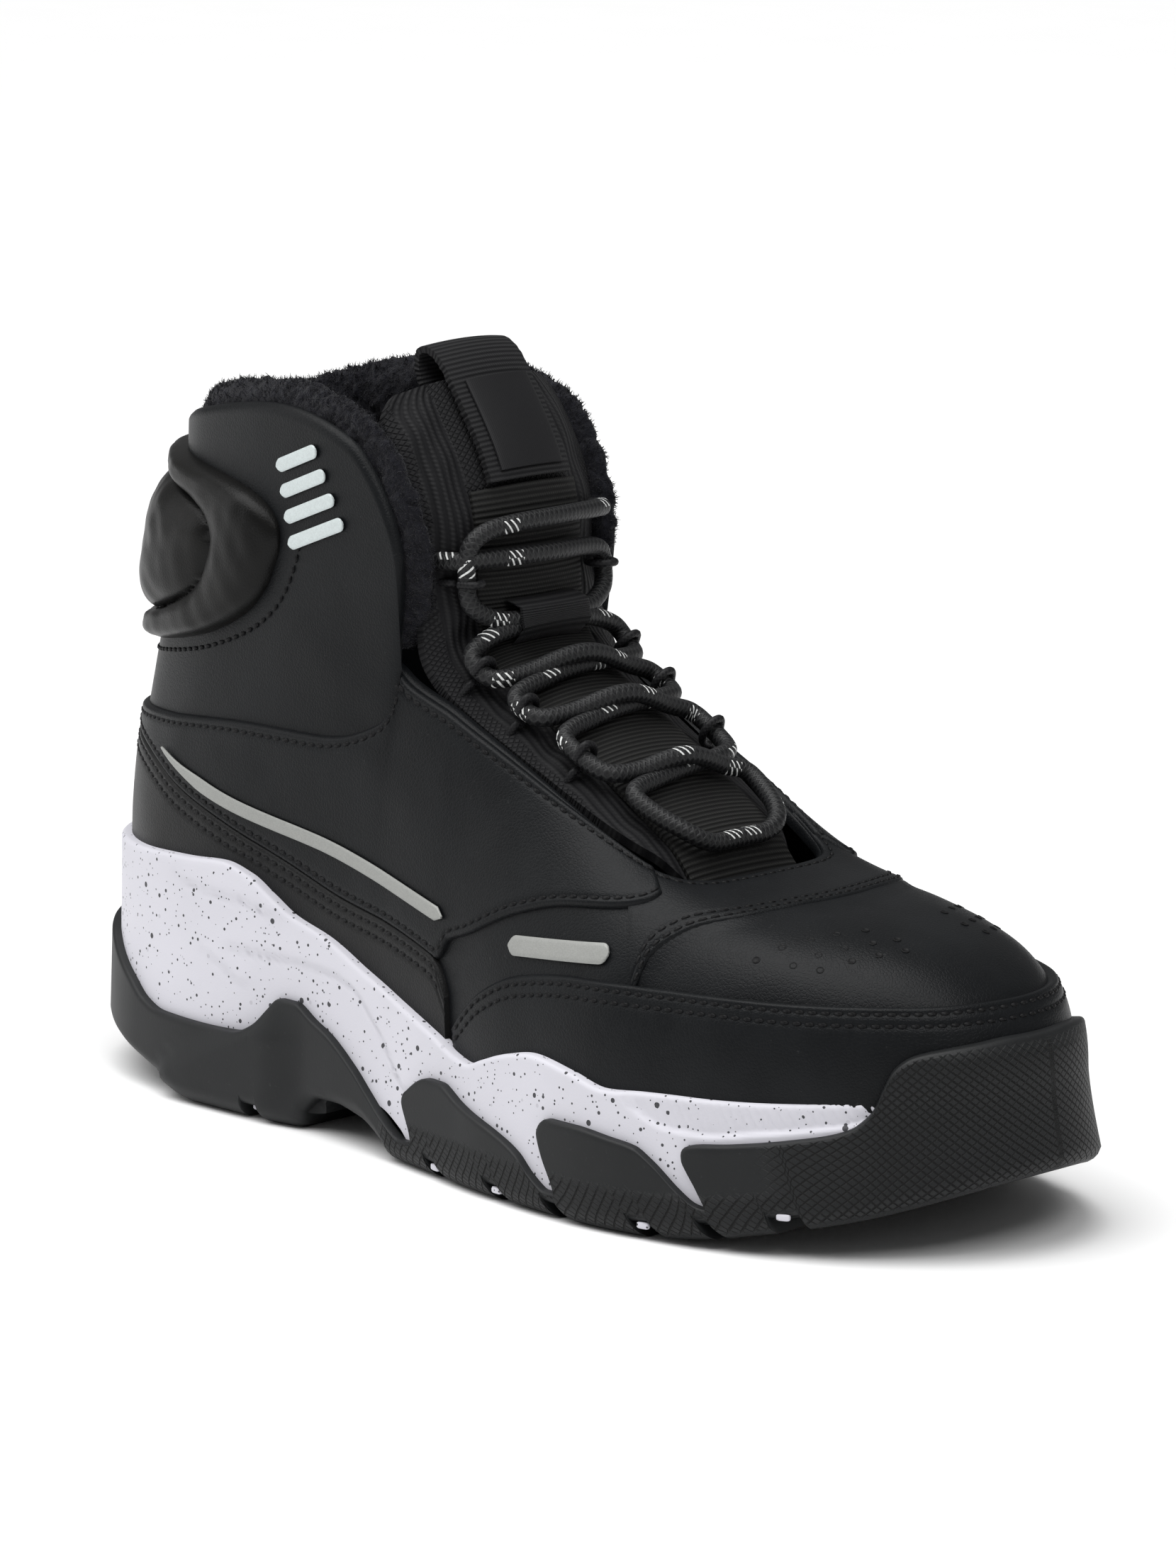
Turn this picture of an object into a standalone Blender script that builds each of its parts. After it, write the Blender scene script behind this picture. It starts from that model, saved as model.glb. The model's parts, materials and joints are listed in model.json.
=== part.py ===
"""A right high-top sneaker with a chunky cup sole, empty and standing on its sole.

The shoe's own frame runs from the heel at x = 0 to the toe at x = SOLE_LENGTH, with the inner (medial)
side of this right shoe at +Y and the floor at z = 0. Lengths are in millimetres, and MM turns them into
metres when a mesh is made. At the end every piece is shifted together, so that the origin lies under
the middle of the shoe, on the floor.

A station is an angle round the shoe, seen from above: 0 at the toe, pi / 2 half way along the outer
(lateral) side, pi at the heel, and on along the inner side to 2 pi at the toe again. A folded station
counts from the toe on either side. A share is a station's distance from the heel as a share of the
feather line's length.
"""

import math

import bmesh
import bpy
import numpy as np

MM = 0.001
CLEAR = 0.3
CUP_CLEAR = 0.45
SLOPE_REACH = 8.0

# Driving sizes of the sole
SOLE_LENGTH = 303.0
HEEL_INSET = 10.0
TOE_INSET = 8.6
OUTSOLE_FLOOR = 4.2
FLANK_THICK = 2.2
GROOVE_DEPTH = 2.6
ARCH_RISE = 9.0
ARCH_RUBBER = 3.2
TOE_SPRING = 19.0
TOE_SPRING_START = 222.0
HEEL_LIFT = 13.0
HEEL_LIFT_START = 62.0
BOTTOM_TUCK = 2.4
BOTTOM_BEVEL = 2.2
FIN_SLANT = 0.9

# Driving sizes of the midsole and of what lies in it
BED_HEEL = 31.0
BED_BALL = 18.0
MIDSOLE_HEEL_TOP = 61.0
CUP_EDGE = 3.6
CUP_EDGE_TOE = 1.7
EDGE_BEVEL = 1.0
INSOLE_THICK = 4.0

# Driving sizes of the upper and of the leather over it
BALL_WIDTH = 96.0
COLLAR_HEIGHT = 174.0
UPPER_WALL = 2.6
UPPER_STATIONS = 56
UPPER_ROWS = 11
OVERLAY_THICK = 1.1
LEATHER_LIFT = 0.45
RIM_MARGIN = 1.2
SEAM_GAP = 0.8

# Driving sizes of the collar's padding
CUFF_HEIGHT = 16.0
CUFF_THICK = 8.0
CUFF_FRONT_THICK = 4.6
CUFF_RISE = 5.0
BOLSTER_SWELL = 4.0
ACHILLES_SWELL = 8.5
BOLSTER_LOW = 107.0
BOLSTER_HIGH = 156.0
BOLSTER_REACH = 0.78
BOLSTER_DROOP = 2.5
PAD_SHARE = 0.72

# Driving sizes of the tongue, its webbing and the pull loop
TONGUE_THICK = 5.0
SPINE_PASSES = 60
TONGUE_ARCH = 9.0
TONGUE_LEAN = 8.0
WEB_LIFT = 0.45
TONGUE_TOP_EXTRA = 10.0
TONGUE_FOOT_EXTRA = 12.0
TAPE_WIDTH = 34.0
TAPE_THICK = 1.2
LOOP_WIDTH = 26.0
LOOP_RISE = 8.0
LOOP_THICK = 1.6
LABEL_WIDTH = 20.0
LABEL_HEIGHT = 23.0
LABEL_THICK = 0.6
KEEPER_LENGTH = 19.0
KEEPER_WIDTH = 22.0

# Driving sizes of the lacing and the reflective trim
LACE_DIAMETER = 4.4
LACE_INSET = 4.6
LACE_SIDE_LIFT = 1.3
LACE_BASE_ROW = 8.0
LACE_TOP_ROWS = (119.0, 126.5)
LOOP_CORD = 1.9
TRIM_THICK = 0.5
COLLAR_BAR_LENGTH = 21.0
COLLAR_BAR_WIDTH = 3.4
COLLAR_BAR_PITCH = 6.2
COLLAR_BAR_COUNT = 4
COLLAR_BAR_STEP = 1.6
SIDE_STRIP_WIDTH = 3.4
FOREFOOT_BAR_WIDTH = 4.6

# The last's sections, one row for each, from the toe to the heel. "along" is the share. "outer" and
# "inner" are where the feather line runs, and "rim_outer" and "rim_inner" where the rim of the throat and
# the collar runs, in shares of BALL_WIDTH. "rim_x" is a share of SOLE_LENGTH and "rim_z" a share of
# COLLAR_HEIGHT.
SECTION_COLUMNS = ("along", "outer", "inner", "rim_x", "rim_outer", "rim_inner", "rim_z")
SECTIONS = (
    (1.000, 0.055, 0.055, 0.703, 0.010, 0.010, 0.430),
    (0.985, -0.125, 0.210, 0.703, -0.085, 0.095, 0.430),
    (0.950, -0.250, 0.315, 0.702, -0.155, 0.165, 0.431),
    (0.890, -0.375, 0.400, 0.696, -0.225, 0.225, 0.434),
    (0.800, -0.468, 0.453, 0.674, -0.278, 0.265, 0.450),
    (0.700, -0.510, 0.469, 0.620, -0.305, 0.292, 0.500),
    (0.600, -0.495, 0.440, 0.550, -0.323, 0.313, 0.560),
    (0.500, -0.448, 0.388, 0.480, -0.338, 0.330, 0.616),
    (0.400, -0.400, 0.352, 0.422, -0.350, 0.352, 0.668),
    (0.300, -0.378, 0.350, 0.424, -0.372, 0.385, 0.806),
    (0.200, -0.376, 0.359, 0.374, -0.390, 0.405, 0.965),
    (0.110, -0.339, 0.328, 0.285, -0.375, 0.385, 1.000),
    (0.045, -0.240, 0.234, 0.168, -0.300, 0.302, 0.970),
    (0.000, 0.000, 0.000, 0.080, 0.000, 0.000, 0.925),
)

# How each section bends between the feather line and the rim, one row for each row of SECTIONS. It leaves
# the feather line upwards for "rise" of its height and "lean" of BALL_WIDTH outwards, and comes to the
# rim from "reach" of the way back out, "tuck" of BALL_WIDTH further out and "fall" of its height lower.
BEND_COLUMNS = ("rise", "lean", "reach", "tuck", "fall")
BENDS = (
    (0.90, 0.060, 0.72, 0.00, 0.11),
    (0.90, 0.060, 0.72, 0.00, 0.11),
    (0.88, 0.058, 0.70, 0.00, 0.12),
    (0.82, 0.055, 0.68, 0.00, 0.13),
    (0.66, 0.055, 0.66, 0.00, 0.18),
    (0.50, 0.062, 0.62, 0.01, 0.25),
    (0.44, 0.055, 0.52, 0.01, 0.31),
    (0.40, 0.042, 0.45, 0.01, 0.34),
    (0.37, 0.035, 0.40, 0.00, 0.35),
    (0.35, 0.035, 0.36, -0.02, 0.35),
    (0.34, 0.040, 0.35, -0.03, 0.34),
    (0.34, 0.060, 0.38, -0.03, 0.34),
    (0.34, 0.085, 0.40, -0.04, 0.34),
    (0.34, 0.110, 0.40, -0.04, 0.34),
)

# How far the midsole stands out past the feather line, in shares of BALL_WIDTH.
FLARE_COLUMNS = ("share", "flare")
FLARES = (
    (0.00, 0.075),
    (0.12, 0.080),
    (0.30, 0.070),
    (0.48, 0.074),
    (0.68, 0.082),
    (0.85, 0.082),
    (1.00, 0.060),
)

# The midsole's upper edge, as shares of SOLE_LENGTH along and of MIDSOLE_HEEL_TOP up. It dips behind the
# ball of the foot, rises in a low hump beside it and runs level to the toe.
EDGE_COLUMNS = ("x", "z")
CUP_EDGES = (
    (0.000, 0.940),
    (0.080, 0.955),
    (0.178, 0.984),
    (0.221, 1.000),
    (0.254, 0.967),
    (0.281, 0.905),
    (0.310, 0.840),
    (0.356, 0.787),
    (0.403, 0.705),
    (0.452, 0.623),
    (0.502, 0.541),
    (0.530, 0.490),
    (0.548, 0.475),
    (0.568, 0.508),
    (0.597, 0.557),
    (0.635, 0.592),
    (0.680, 0.562),
    (0.713, 0.528),
    (0.749, 0.541),
    (0.830, 0.557),
    (0.924, 0.590),
    (1.000, 0.640),
)

# The outsole's columns, from the toe to the heel. "foot" is where a column stands on the floor, as a
# share, and "top" how high its black rubber climbs, in shares of MIDSOLE_HEEL_TOP: the toe bumper, three
# slanting fins, the long heel fin and the heel bumper. The columns of the fins lean back, by FIN_SLANT
# for each millimetre up.
COLUMN_COLUMNS = ("foot", "top")
RUBBER_COLUMNS = (
    (1.0000, 0.820),
    (0.9975, 0.820),
    (0.9900, 0.810),
    (0.9780, 0.795),
    (0.9620, 0.770),
    (0.9500, 0.720),
    (0.9420, 0.640),
    (0.9350, 0.550),
    (0.9260, 0.490),
    (0.9080, 0.445),
    (0.8860, 0.405),
    (0.8680, 0.380),
    (0.8600, 0.330),
    (0.8570, 0.240),
    (0.8520, 0.160),
    (0.8440, 0.170),
    (0.8370, 0.215),
    (0.8290, 0.295),
    (0.8200, 0.344),
    (0.8000, 0.360),
    (0.7680, 0.377),
    (0.7420, 0.377),
    (0.7200, 0.330),
    (0.7110, 0.245),
    (0.7065, 0.150),
    (0.7020, 0.105),
    (0.6910, 0.105),
    (0.6800, 0.150),
    (0.6740, 0.210),
    (0.6550, 0.262),
    (0.6140, 0.328),
    (0.5960, 0.377),
    (0.5800, 0.377),
    (0.5380, 0.310),
    (0.5230, 0.262),
    (0.5180, 0.164),
    (0.5120, 0.115),
    (0.4930, 0.105),
    (0.4830, 0.125),
    (0.4750, 0.170),
    (0.4670, 0.235),
    (0.4580, 0.310),
    (0.4400, 0.410),
    (0.4200, 0.460),
    (0.4050, 0.508),
    (0.3800, 0.508),
    (0.3400, 0.460),
    (0.2900, 0.385),
    (0.2400, 0.335),
    (0.1900, 0.328),
    (0.1400, 0.330),
    (0.1150, 0.360),
    (0.0950, 0.420),
    (0.0700, 0.480),
    (0.0550, 0.515),
    (0.0400, 0.550),
    (0.0260, 0.575),
    (0.0150, 0.590),
    (0.0070, 0.597),
    (0.0020, 0.600),
    (0.0000, 0.600),
)

# The tread's cross grooves, from the toe to the heel: where each starts and ends, as shares.
GROOVE_COLUMNS = ("front", "back")
GROOVES = (
    (0.905, 0.888),
    (0.848, 0.836),
    (0.790, 0.770),
    (0.700, 0.684),
    (0.630, 0.612),
    (0.545, 0.528),
    (0.285, 0.262),
)

# The underside's rise at the arch, as shares, and in shares of ARCH_RISE.
ARCH_COLUMNS = ("share", "rise")
ARCH_CURVE = (
    (0.000, 0.00),
    (0.335, 0.00),
    (0.352, 0.55),
    (0.385, 1.00),
    (0.410, 0.95),
    (0.440, 0.55),
    (0.468, 0.00),
    (1.000, 0.00),
)

# Heights of the seams, in shares of COLLAR_HEIGHT, at shares of SOLE_LENGTH from the heel: the heel
# counter's upper edge, the lower edge of the quarter ahead of it, the toe band's upper edge, and the
# collar seam over the quarter.
SEAM_COLUMNS = ("x", "z")
COUNTER_SEAM = (
    (0.00, 0.505),
    (0.07, 0.480),
    (0.15, 0.430),
    (0.21, 0.402),
    (0.28, 0.370),
    (0.36, 0.335),
    (0.43, 0.318),
    (0.50, 0.290),
    (0.56, 0.250),
)
QUARTER_SEAM = (
    (0.00, 0.000),
    (0.47, 0.000),
    (0.50, 0.305),
    (0.54, 0.335),
    (0.60, 0.375),
    (0.66, 0.398),
    (0.72, 0.405),
)
BAND_SEAM = (
    (0.49, 0.150),
    (0.51, 0.190),
    (0.53, 0.228),
    (0.56, 0.268),
    (0.61, 0.302),
    (0.68, 0.318),
    (1.00, 0.328),
)
COLLAR_SEAM = (
    (0.00, 0.520),
    (0.10, 0.535),
    (0.20, 0.550),
    (0.28, 0.552),
    (0.36, 0.585),
    (0.42, 0.640),
    (0.50, 0.700),
)

# The middle line of the long reflective strip, as shares of SOLE_LENGTH and COLLAR_HEIGHT.
SIDE_STRIP = ((0.145, 0.484), (0.175, 0.462), (0.240, 0.432), (0.360, 0.400), (0.450, 0.368), (0.505, 0.348))
FOREFOOT_BAR = ((0.585, 0.336), (0.690, 0.352))
COLLAR_BAR_LOW = (0.335, 0.832)
COLLAR_BAR_TILT = 21.0

# The rows where the lace crosses the tongue, in millimetres up the throat: the row's middle, how far its
# ends spread at the throat's edges, and how far the strands are apart from the middle where they pass the
# keeper's sides.
LACE_COLUMNS = ("middle", "spread", "pinch")
LACE_ROWS = ((31.0, 3.5, 1.6), (54.0, 3.5, 1.6), (71.0, 3.5, 1.6), (98.0, 10.0, 2.1))


def column(rows, columns, name):
    """One named column of a table as an array."""
    return np.array([row[columns.index(name)] for row in rows], float)


def smooth(knots, values, at):
    """A smooth curve through values at rising knots, with no overshoot: cubic pieces with limited slopes."""
    knots, values, at = (np.asarray(a, float) for a in (knots, values, at))
    step = np.diff(knots)
    slope = np.diff(values) / step
    tangent = np.empty_like(values)
    tangent[0], tangent[-1] = slope[0], slope[-1]
    before, after = 2 * step[1:] + step[:-1], step[1:] + 2 * step[:-1]
    same_way = slope[:-1] * slope[1:] > 0
    with np.errstate(divide="ignore", invalid="ignore"):
        mean = (before + after) / (before / slope[:-1] + after / slope[1:])
    tangent[1:-1] = np.where(same_way, mean, 0.0)
    i = np.clip(np.searchsorted(knots, at, side="right") - 1, 0, len(step) - 1)
    t = (at - knots[i]) / step[i]
    start = values[i] * (1 + 2 * t) * (1 - t) ** 2 + tangent[i] * step[i] * t * (1 - t) ** 2
    end = values[i + 1] * t * t * (3 - 2 * t) + tangent[i + 1] * step[i] * t * t * (t - 1)
    return start + end


def curve(rows, columns, at, scale=1.0):
    """A table's second column as a smooth curve over its first, times a size."""
    return scale * smooth(column(rows, columns, columns[0]), column(rows, columns, columns[1]), at)


def angle_of(share):
    """The folded station at a share."""
    return np.arccos(np.clip(2 * np.asarray(share, float) - 1, -1, 1))


def share_of(station):
    """The share at a station."""
    return (1 + np.cos(station)) / 2


def around(station, outer, inner):
    """A smooth closed curve round the shoe through a value on each side at each row of SECTIONS."""
    angle = angle_of(column(SECTIONS, SECTION_COLUMNS, "along"))
    knots = np.concatenate([angle, 2 * math.pi - angle[-2:0:-1]])
    values = np.concatenate([outer, inner[-2:0:-1]])
    knots = np.concatenate([knots[-2:] - 2 * math.pi, knots, knots[:2] + 2 * math.pi])
    values = np.concatenate([values[-2:], values, values[:2]])
    return smooth(knots, values, np.mod(station, 2 * math.pi))


def section(station, name, inner_name=None):
    """A column of SECTIONS at any station."""
    return around(
        station,
        column(SECTIONS, SECTION_COLUMNS, name),
        column(SECTIONS, SECTION_COLUMNS, inner_name or name),
    )


def bend(station, name):
    """A column of BENDS at any station."""
    values = column(BENDS, BEND_COLUMNS, name)
    return around(station, values, values)[..., None]


def spring(x):
    """How far the toe end of the sole curves up off the floor."""
    ahead = np.clip((x - TOE_SPRING_START) / (SOLE_LENGTH - TOE_SPRING_START), 0, 1)
    return TOE_SPRING * ahead**2


def heel_lift(x):
    """How far the back of the heel is bevelled up off the floor."""
    behind = np.clip((HEEL_LIFT_START - x) / HEEL_LIFT_START, 0, 1)
    return HEEL_LIFT * (1 - (1 - behind) ** 1.6)


def underside(x):
    """Height of the sole's underside, without the tread's grooves."""
    return spring(x) + heel_lift(x) + curve(ARCH_CURVE, ARCH_COLUMNS, x / SOLE_LENGTH, ARCH_RISE)


def rubber_floor(x):
    """Height of the tray's floor in the outsole, on which the midsole lies."""
    over_arch = curve(ARCH_CURVE, ARCH_COLUMNS, x / SOLE_LENGTH, ARCH_RISE) + ARCH_RUBBER
    return spring(x) + 0.8 * heel_lift(x) + np.maximum(OUTSOLE_FLOOR, over_arch)


def midsole_low(x):
    """Height of the midsole's lower face: on the tray's floor, and clear of the slopes of the arch."""
    steps = (-SLOPE_REACH, -SLOPE_REACH / 2, 0, SLOPE_REACH / 2, SLOPE_REACH)
    return np.max([rubber_floor(np.clip(x + step, 0, SOLE_LENGTH)) for step in steps], axis=0) + CLEAR


def bed_height(x):
    """Height of the footbed: high at the heel, low at the ball, and up again with the toe spring."""
    heights = [BED_HEEL, BED_HEEL, BED_BALL, BED_BALL]
    drop = smooth([0, 0.26, 0.64, 1.0], heights, np.clip(x / SOLE_LENGTH, 0, 1))
    return drop + 0.6 * spring(x)


def feather_line(station):
    """The closed line where the upper meets the footbed."""
    x = HEEL_INSET + share_of(station) * (SOLE_LENGTH - HEEL_INSET - TOE_INSET)
    y = BALL_WIDTH * section(station, "outer", "inner")
    return np.stack([x, y, bed_height(x)], -1)


def rim_line(station):
    """The closed rim of the throat and the collar."""
    x = SOLE_LENGTH * section(station, "rim_x")
    y = BALL_WIDTH * section(station, "rim_outer", "rim_inner")
    return np.stack([x, y, COLLAR_HEIGHT * section(station, "rim_z")], -1)


def unit(vectors):
    """The vectors at length one."""
    return vectors / (np.linalg.norm(vectors, axis=-1, keepdims=True) + 1e-12)


def outward(station):
    """The level direction that points out of the feather line."""
    nudge = 0.02
    along = feather_line(station + nudge) - feather_line(station - nudge)
    return unit(np.stack([-along[..., 1], along[..., 0], 0 * along[..., 0]], -1))


def upper_point(station, up):
    """The upper's outer surface: a cubic curve at each station, from the feather line to the rim."""
    station, up = np.broadcast_arrays(np.asarray(station, float), np.asarray(up, float))
    foot, rim, out = feather_line(station), rim_line(station), outward(station)
    level, vertical = np.array([1.0, 1.0, 0.0]), np.array([0.0, 0.0, 1.0])
    height = (rim - foot)[..., 2:]
    first = foot + vertical * height * bend(station, "rise") + out * BALL_WIDTH * bend(station, "lean")
    last = rim + (foot - rim) * level * bend(station, "reach") + out * BALL_WIDTH * bend(station, "tuck")
    last = last - vertical * height * bend(station, "fall")
    t = up[..., None]
    return foot * (1 - t) ** 3 + 3 * first * t * (1 - t) ** 2 + 3 * last * t**2 * (1 - t) + rim * t**3


def upper_normal(station, up):
    """The direction out of the upper's outer surface."""
    station, up = np.broadcast_arrays(np.asarray(station, float), np.asarray(up, float))
    nudge = 0.02
    round_shoe = upper_point(station + nudge, up) - upper_point(station - nudge, up)
    higher, lower = np.clip(up + nudge, 0, 1), np.clip(up - nudge, 0, 1)
    up_wall = upper_point(station, higher) - upper_point(station, lower)
    return unit(np.cross(up_wall, round_shoe))


def over_upper(station, up, out):
    """A point that stands off the upper's outer surface by a distance."""
    return upper_point(station, up) + upper_normal(station, up) * np.asarray(out, float)[..., None]


def up_at_height(station, z):
    """How far up each section the wall reaches a height."""
    station, z = np.broadcast_arrays(np.asarray(station, float), np.asarray(z, float))
    samples = np.linspace(0, 1, 121)
    heights = np.maximum.accumulate(upper_point(station.reshape(-1, 1), samples)[..., 2], axis=1)
    heights = heights + samples * 1e-6
    return np.array([np.interp(a, row, samples) for a, row in zip(z.ravel(), heights)]).reshape(z.shape)


def on_upper(x, z, inner):
    """The station and the way up at which the upper's outer surface passes a place seen from the side."""
    stations = np.linspace(0.25, math.pi - 0.1, 260)
    stations = 2 * math.pi - stations if inner else stations
    found = []
    for place_x, place_z in zip(np.ravel(x), np.ravel(z)):
        ups = up_at_height(stations, np.full(len(stations), place_z))
        seen = upper_point(stations, ups)[:, 0]
        station = np.interp(-place_x, -seen, stations)
        found.append((station, up_at_height(station, place_z)))
    return np.array(found).reshape(np.shape(x) + (2,))


def cup_edge_height(x):
    """Height of the midsole's upper edge."""
    return curve(CUP_EDGES, EDGE_COLUMNS, np.clip(x / SOLE_LENGTH, 0, 1), MIDSOLE_HEEL_TOP)


def cup_wall(station, z):
    """The cup's inner face, which clears the upper."""
    up = up_at_height(station, z)
    return over_upper(station, up, np.full(up.shape, CUP_CLEAR))


def sole_outline(station):
    """The midsole's widest line, seen from above."""
    flare = BALL_WIDTH * curve(FLARES, FLARE_COLUMNS, share_of(station))
    return feather_line(station) + outward(station) * flare[..., None]


def side_point(station, z, out=0.0):
    """The midsole's side at a height, and its continuation up the upper, moved out by a distance."""
    station, z, out = np.broadcast_arrays(*(np.asarray(a, float) for a in (station, z, out)))
    wide, way = sole_outline(station), outward(station)
    thick = [CUP_EDGE, CUP_EDGE, CUP_EDGE_TOE, CUP_EDGE_TOE]
    edge = smooth([0.0, 0.86, 0.95, 1.0], thick, share_of(station))
    low, top = rubber_floor(wide[..., 0]), cup_edge_height(wide[..., 0])
    rim = cup_wall(station, np.maximum(z, top)) + way * edge[..., None]
    level = np.clip((z - low) / (top - low), 0, 1)
    swell = ((1 - level) ** 1.35)[..., None]
    tuck = BOTTOM_TUCK * np.clip((low - z) / OUTSOLE_FLOOR, 0, 1.2) ** 1.5
    plan = rim * (1 - swell) + wide * swell + way * (out - tuck)[..., None]
    return np.concatenate([plan[..., :2], z[..., None]], -1)


def make_object(name, points, faces, material):
    """A mesh object from points in millimetres in the shoe's frame, with its faces turned outwards."""
    mesh = bpy.data.meshes.new(name)
    mesh.from_pydata([tuple(p) for p in np.asarray(points, float) * MM], [], faces)
    shell = bmesh.new()
    shell.from_mesh(mesh)
    bmesh.ops.recalc_face_normals(shell, faces=shell.faces)
    shell.to_mesh(mesh)
    shell.free()
    mesh.shade_smooth()
    mesh.set_sharp_from_angle(angle=math.radians(38))
    mesh.materials.append(material)
    made = bpy.data.objects.new(name, mesh)
    bpy.context.scene.collection.objects.link(made)
    return made


def slab(name, front, back, material, closed=False):
    """A closed solid between two grids of points. With closed, their rows run round and join up."""
    rows, across = front.shape[:2]
    layer = rows * across

    def at(i, j, back_side):
        return (i % rows) * across + j + layer * back_side

    faces = []
    for i in range(rows if closed else rows - 1):
        for j in range(across - 1):
            faces.append((at(i, j, 0), at(i + 1, j, 0), at(i + 1, j + 1, 0), at(i, j + 1, 0)))
            faces.append((at(i, j, 1), at(i, j + 1, 1), at(i + 1, j + 1, 1), at(i + 1, j, 1)))
        for j in (0, across - 1):
            faces.append((at(i, j, 0), at(i + 1, j, 0), at(i + 1, j, 1), at(i, j, 1)))
    if not closed:
        for i in (0, rows - 1):
            for j in range(across - 1):
                faces.append((at(i, j, 0), at(i, j + 1, 0), at(i, j + 1, 1), at(i, j, 1)))
    return make_object(name, np.concatenate([front.reshape(-1, 3), back.reshape(-1, 3)]), faces, material)


def stack(name, loops, material):
    """A closed solid from loops round the shoe, the first and the last closed from side to side."""
    count = len(loops[0])
    half = count // 2
    faces = []
    for k in range(len(loops) - 1):
        for i in range(count):
            j = (i + 1) % count
            faces.append((k * count + i, k * count + j, (k + 1) * count + j, (k + 1) * count + i))
    for k in (0, len(loops) - 1):
        a = k * count
        faces.append((a, a + 1, a + count - 1))
        for i in range(1, half - 1):
            faces.append((a + i, a + i + 1, a + count - i - 1, a + count - i))
        faces.append((a + half - 1, a + half, a + half + 1))
    return make_object(name, np.concatenate(loops), faces, material)


def tube(path, radius, sides, upright=(0.0, 0.0, 1.0)):
    """Points and faces of a round bar along a path, closed at both ends."""
    along = unit(np.gradient(path, axis=0))
    side = unit(np.cross(along, np.asarray(upright)))
    over = np.cross(side, along)
    turn = np.linspace(0, 2 * math.pi, sides, endpoint=False)[:, None]
    ring = path[:, None] + radius * (side[:, None] * np.cos(turn) + over[:, None] * np.sin(turn))
    return ring.reshape(-1, 3), tube_faces(len(path), sides)


def tube_faces(rings, sides):
    """The faces of a closed tube of rings."""
    faces = []
    for i in range(rings - 1):
        for j in range(sides):
            k = (j + 1) % sides
            faces.append((i * sides + j, i * sides + k, (i + 1) * sides + k, (i + 1) * sides + j))
    faces.append(tuple(range(sides)))
    faces.append(tuple(range((rings - 1) * sides, rings * sides)))
    return faces


def unite(first, others):
    """Joins solids that cross each other into the first, by Boolean unions."""
    for number, helper in enumerate(others):
        helper.hide_render = True
        helper.display_type = "WIRE"
        union = first.modifiers.new(f"union_{number}", "BOOLEAN")
        union.operation = "UNION"
        union.solver = "EXACT"
        union.object = helper


def finish(name, colour, roughness, metallic=0.0):
    """A plain material in a part's own colour."""
    material = bpy.data.materials.new(name)
    material.use_nodes = True
    shader = material.node_tree.nodes["Principled BSDF"]
    shader.inputs["Base Color"].default_value = (*colour, 1.0)
    shader.inputs["Roughness"].default_value = roughness
    shader.inputs["Metallic"].default_value = metallic
    return material


def upper_stations(first=0.0, last=2 * math.pi):
    """The stations at which the upper and the leather over it have their corners, between two angles."""
    every = np.arange(-UPPER_STATIONS, UPPER_STATIONS + 1) * 2 * math.pi / UPPER_STATIONS
    return every[(every >= first - 1e-9) & (every < last - 1e-9)]


def make_upper(material):
    """The hollow upper: one wall, open at the collar, the throat and underneath."""
    stations = upper_stations()[:, None]
    ups = np.linspace(0, 1, UPPER_ROWS)[None, :]
    outer = upper_point(stations, ups)
    inner = over_upper(stations, ups, np.full((UPPER_STATIONS, UPPER_ROWS), -UPPER_WALL))
    inner[:, 0, 2] = outer[:, 0, 2]
    return slab("upper", outer, inner, material, closed=True)


def make_midsole(material):
    """The foam cup: its side, its lip round the upper and the footbed."""
    stations = np.linspace(0, 2 * math.pi, 72, endpoint=False)
    wide = sole_outline(stations)
    low, top = midsole_low(wide[:, 0]), cup_edge_height(wide[:, 0])
    bed = bed_height(feather_line(stations)[:, 0]) - CLEAR
    side = top - EDGE_BEVEL - low
    loops = [side_point(stations, low + side * k, 0.0) for k in (0, 0.25, 0.5, 0.75, 1.0)]
    loops.append(side_point(stations, top, -EDGE_BEVEL))
    for k in (0, 0.33, 0.66, 1.0):
        z = top + (bed - top) * k
        inner = cup_wall(stations, np.maximum(z, bed + CLEAR))
        inner[:, 2] = z
        loops.append(inner)
    return stack("midsole", loops, material)


def make_insole(material):
    """The sock that lies on the footbed, inside the upper."""
    stations = np.linspace(0, 2 * math.pi, 48, endpoint=False)
    inset = UPPER_WALL + 3 * CLEAR
    edge = feather_line(stations) - outward(stations) * inset
    edge[:, 2] = bed_height(edge[:, 0])
    return stack("insole", [edge, edge + np.array([0, 0, INSOLE_THICK])], material)


def column_slant(foot):
    """How far back a column of the outsole leans for each millimetre up, at its share."""
    return FIN_SLANT * smooth([0.0, 0.20, 0.41, 0.85, 0.94, 1.0], [0.0, 0.0, 1.0, 1.0, 0.0, 0.0], foot)


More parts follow.
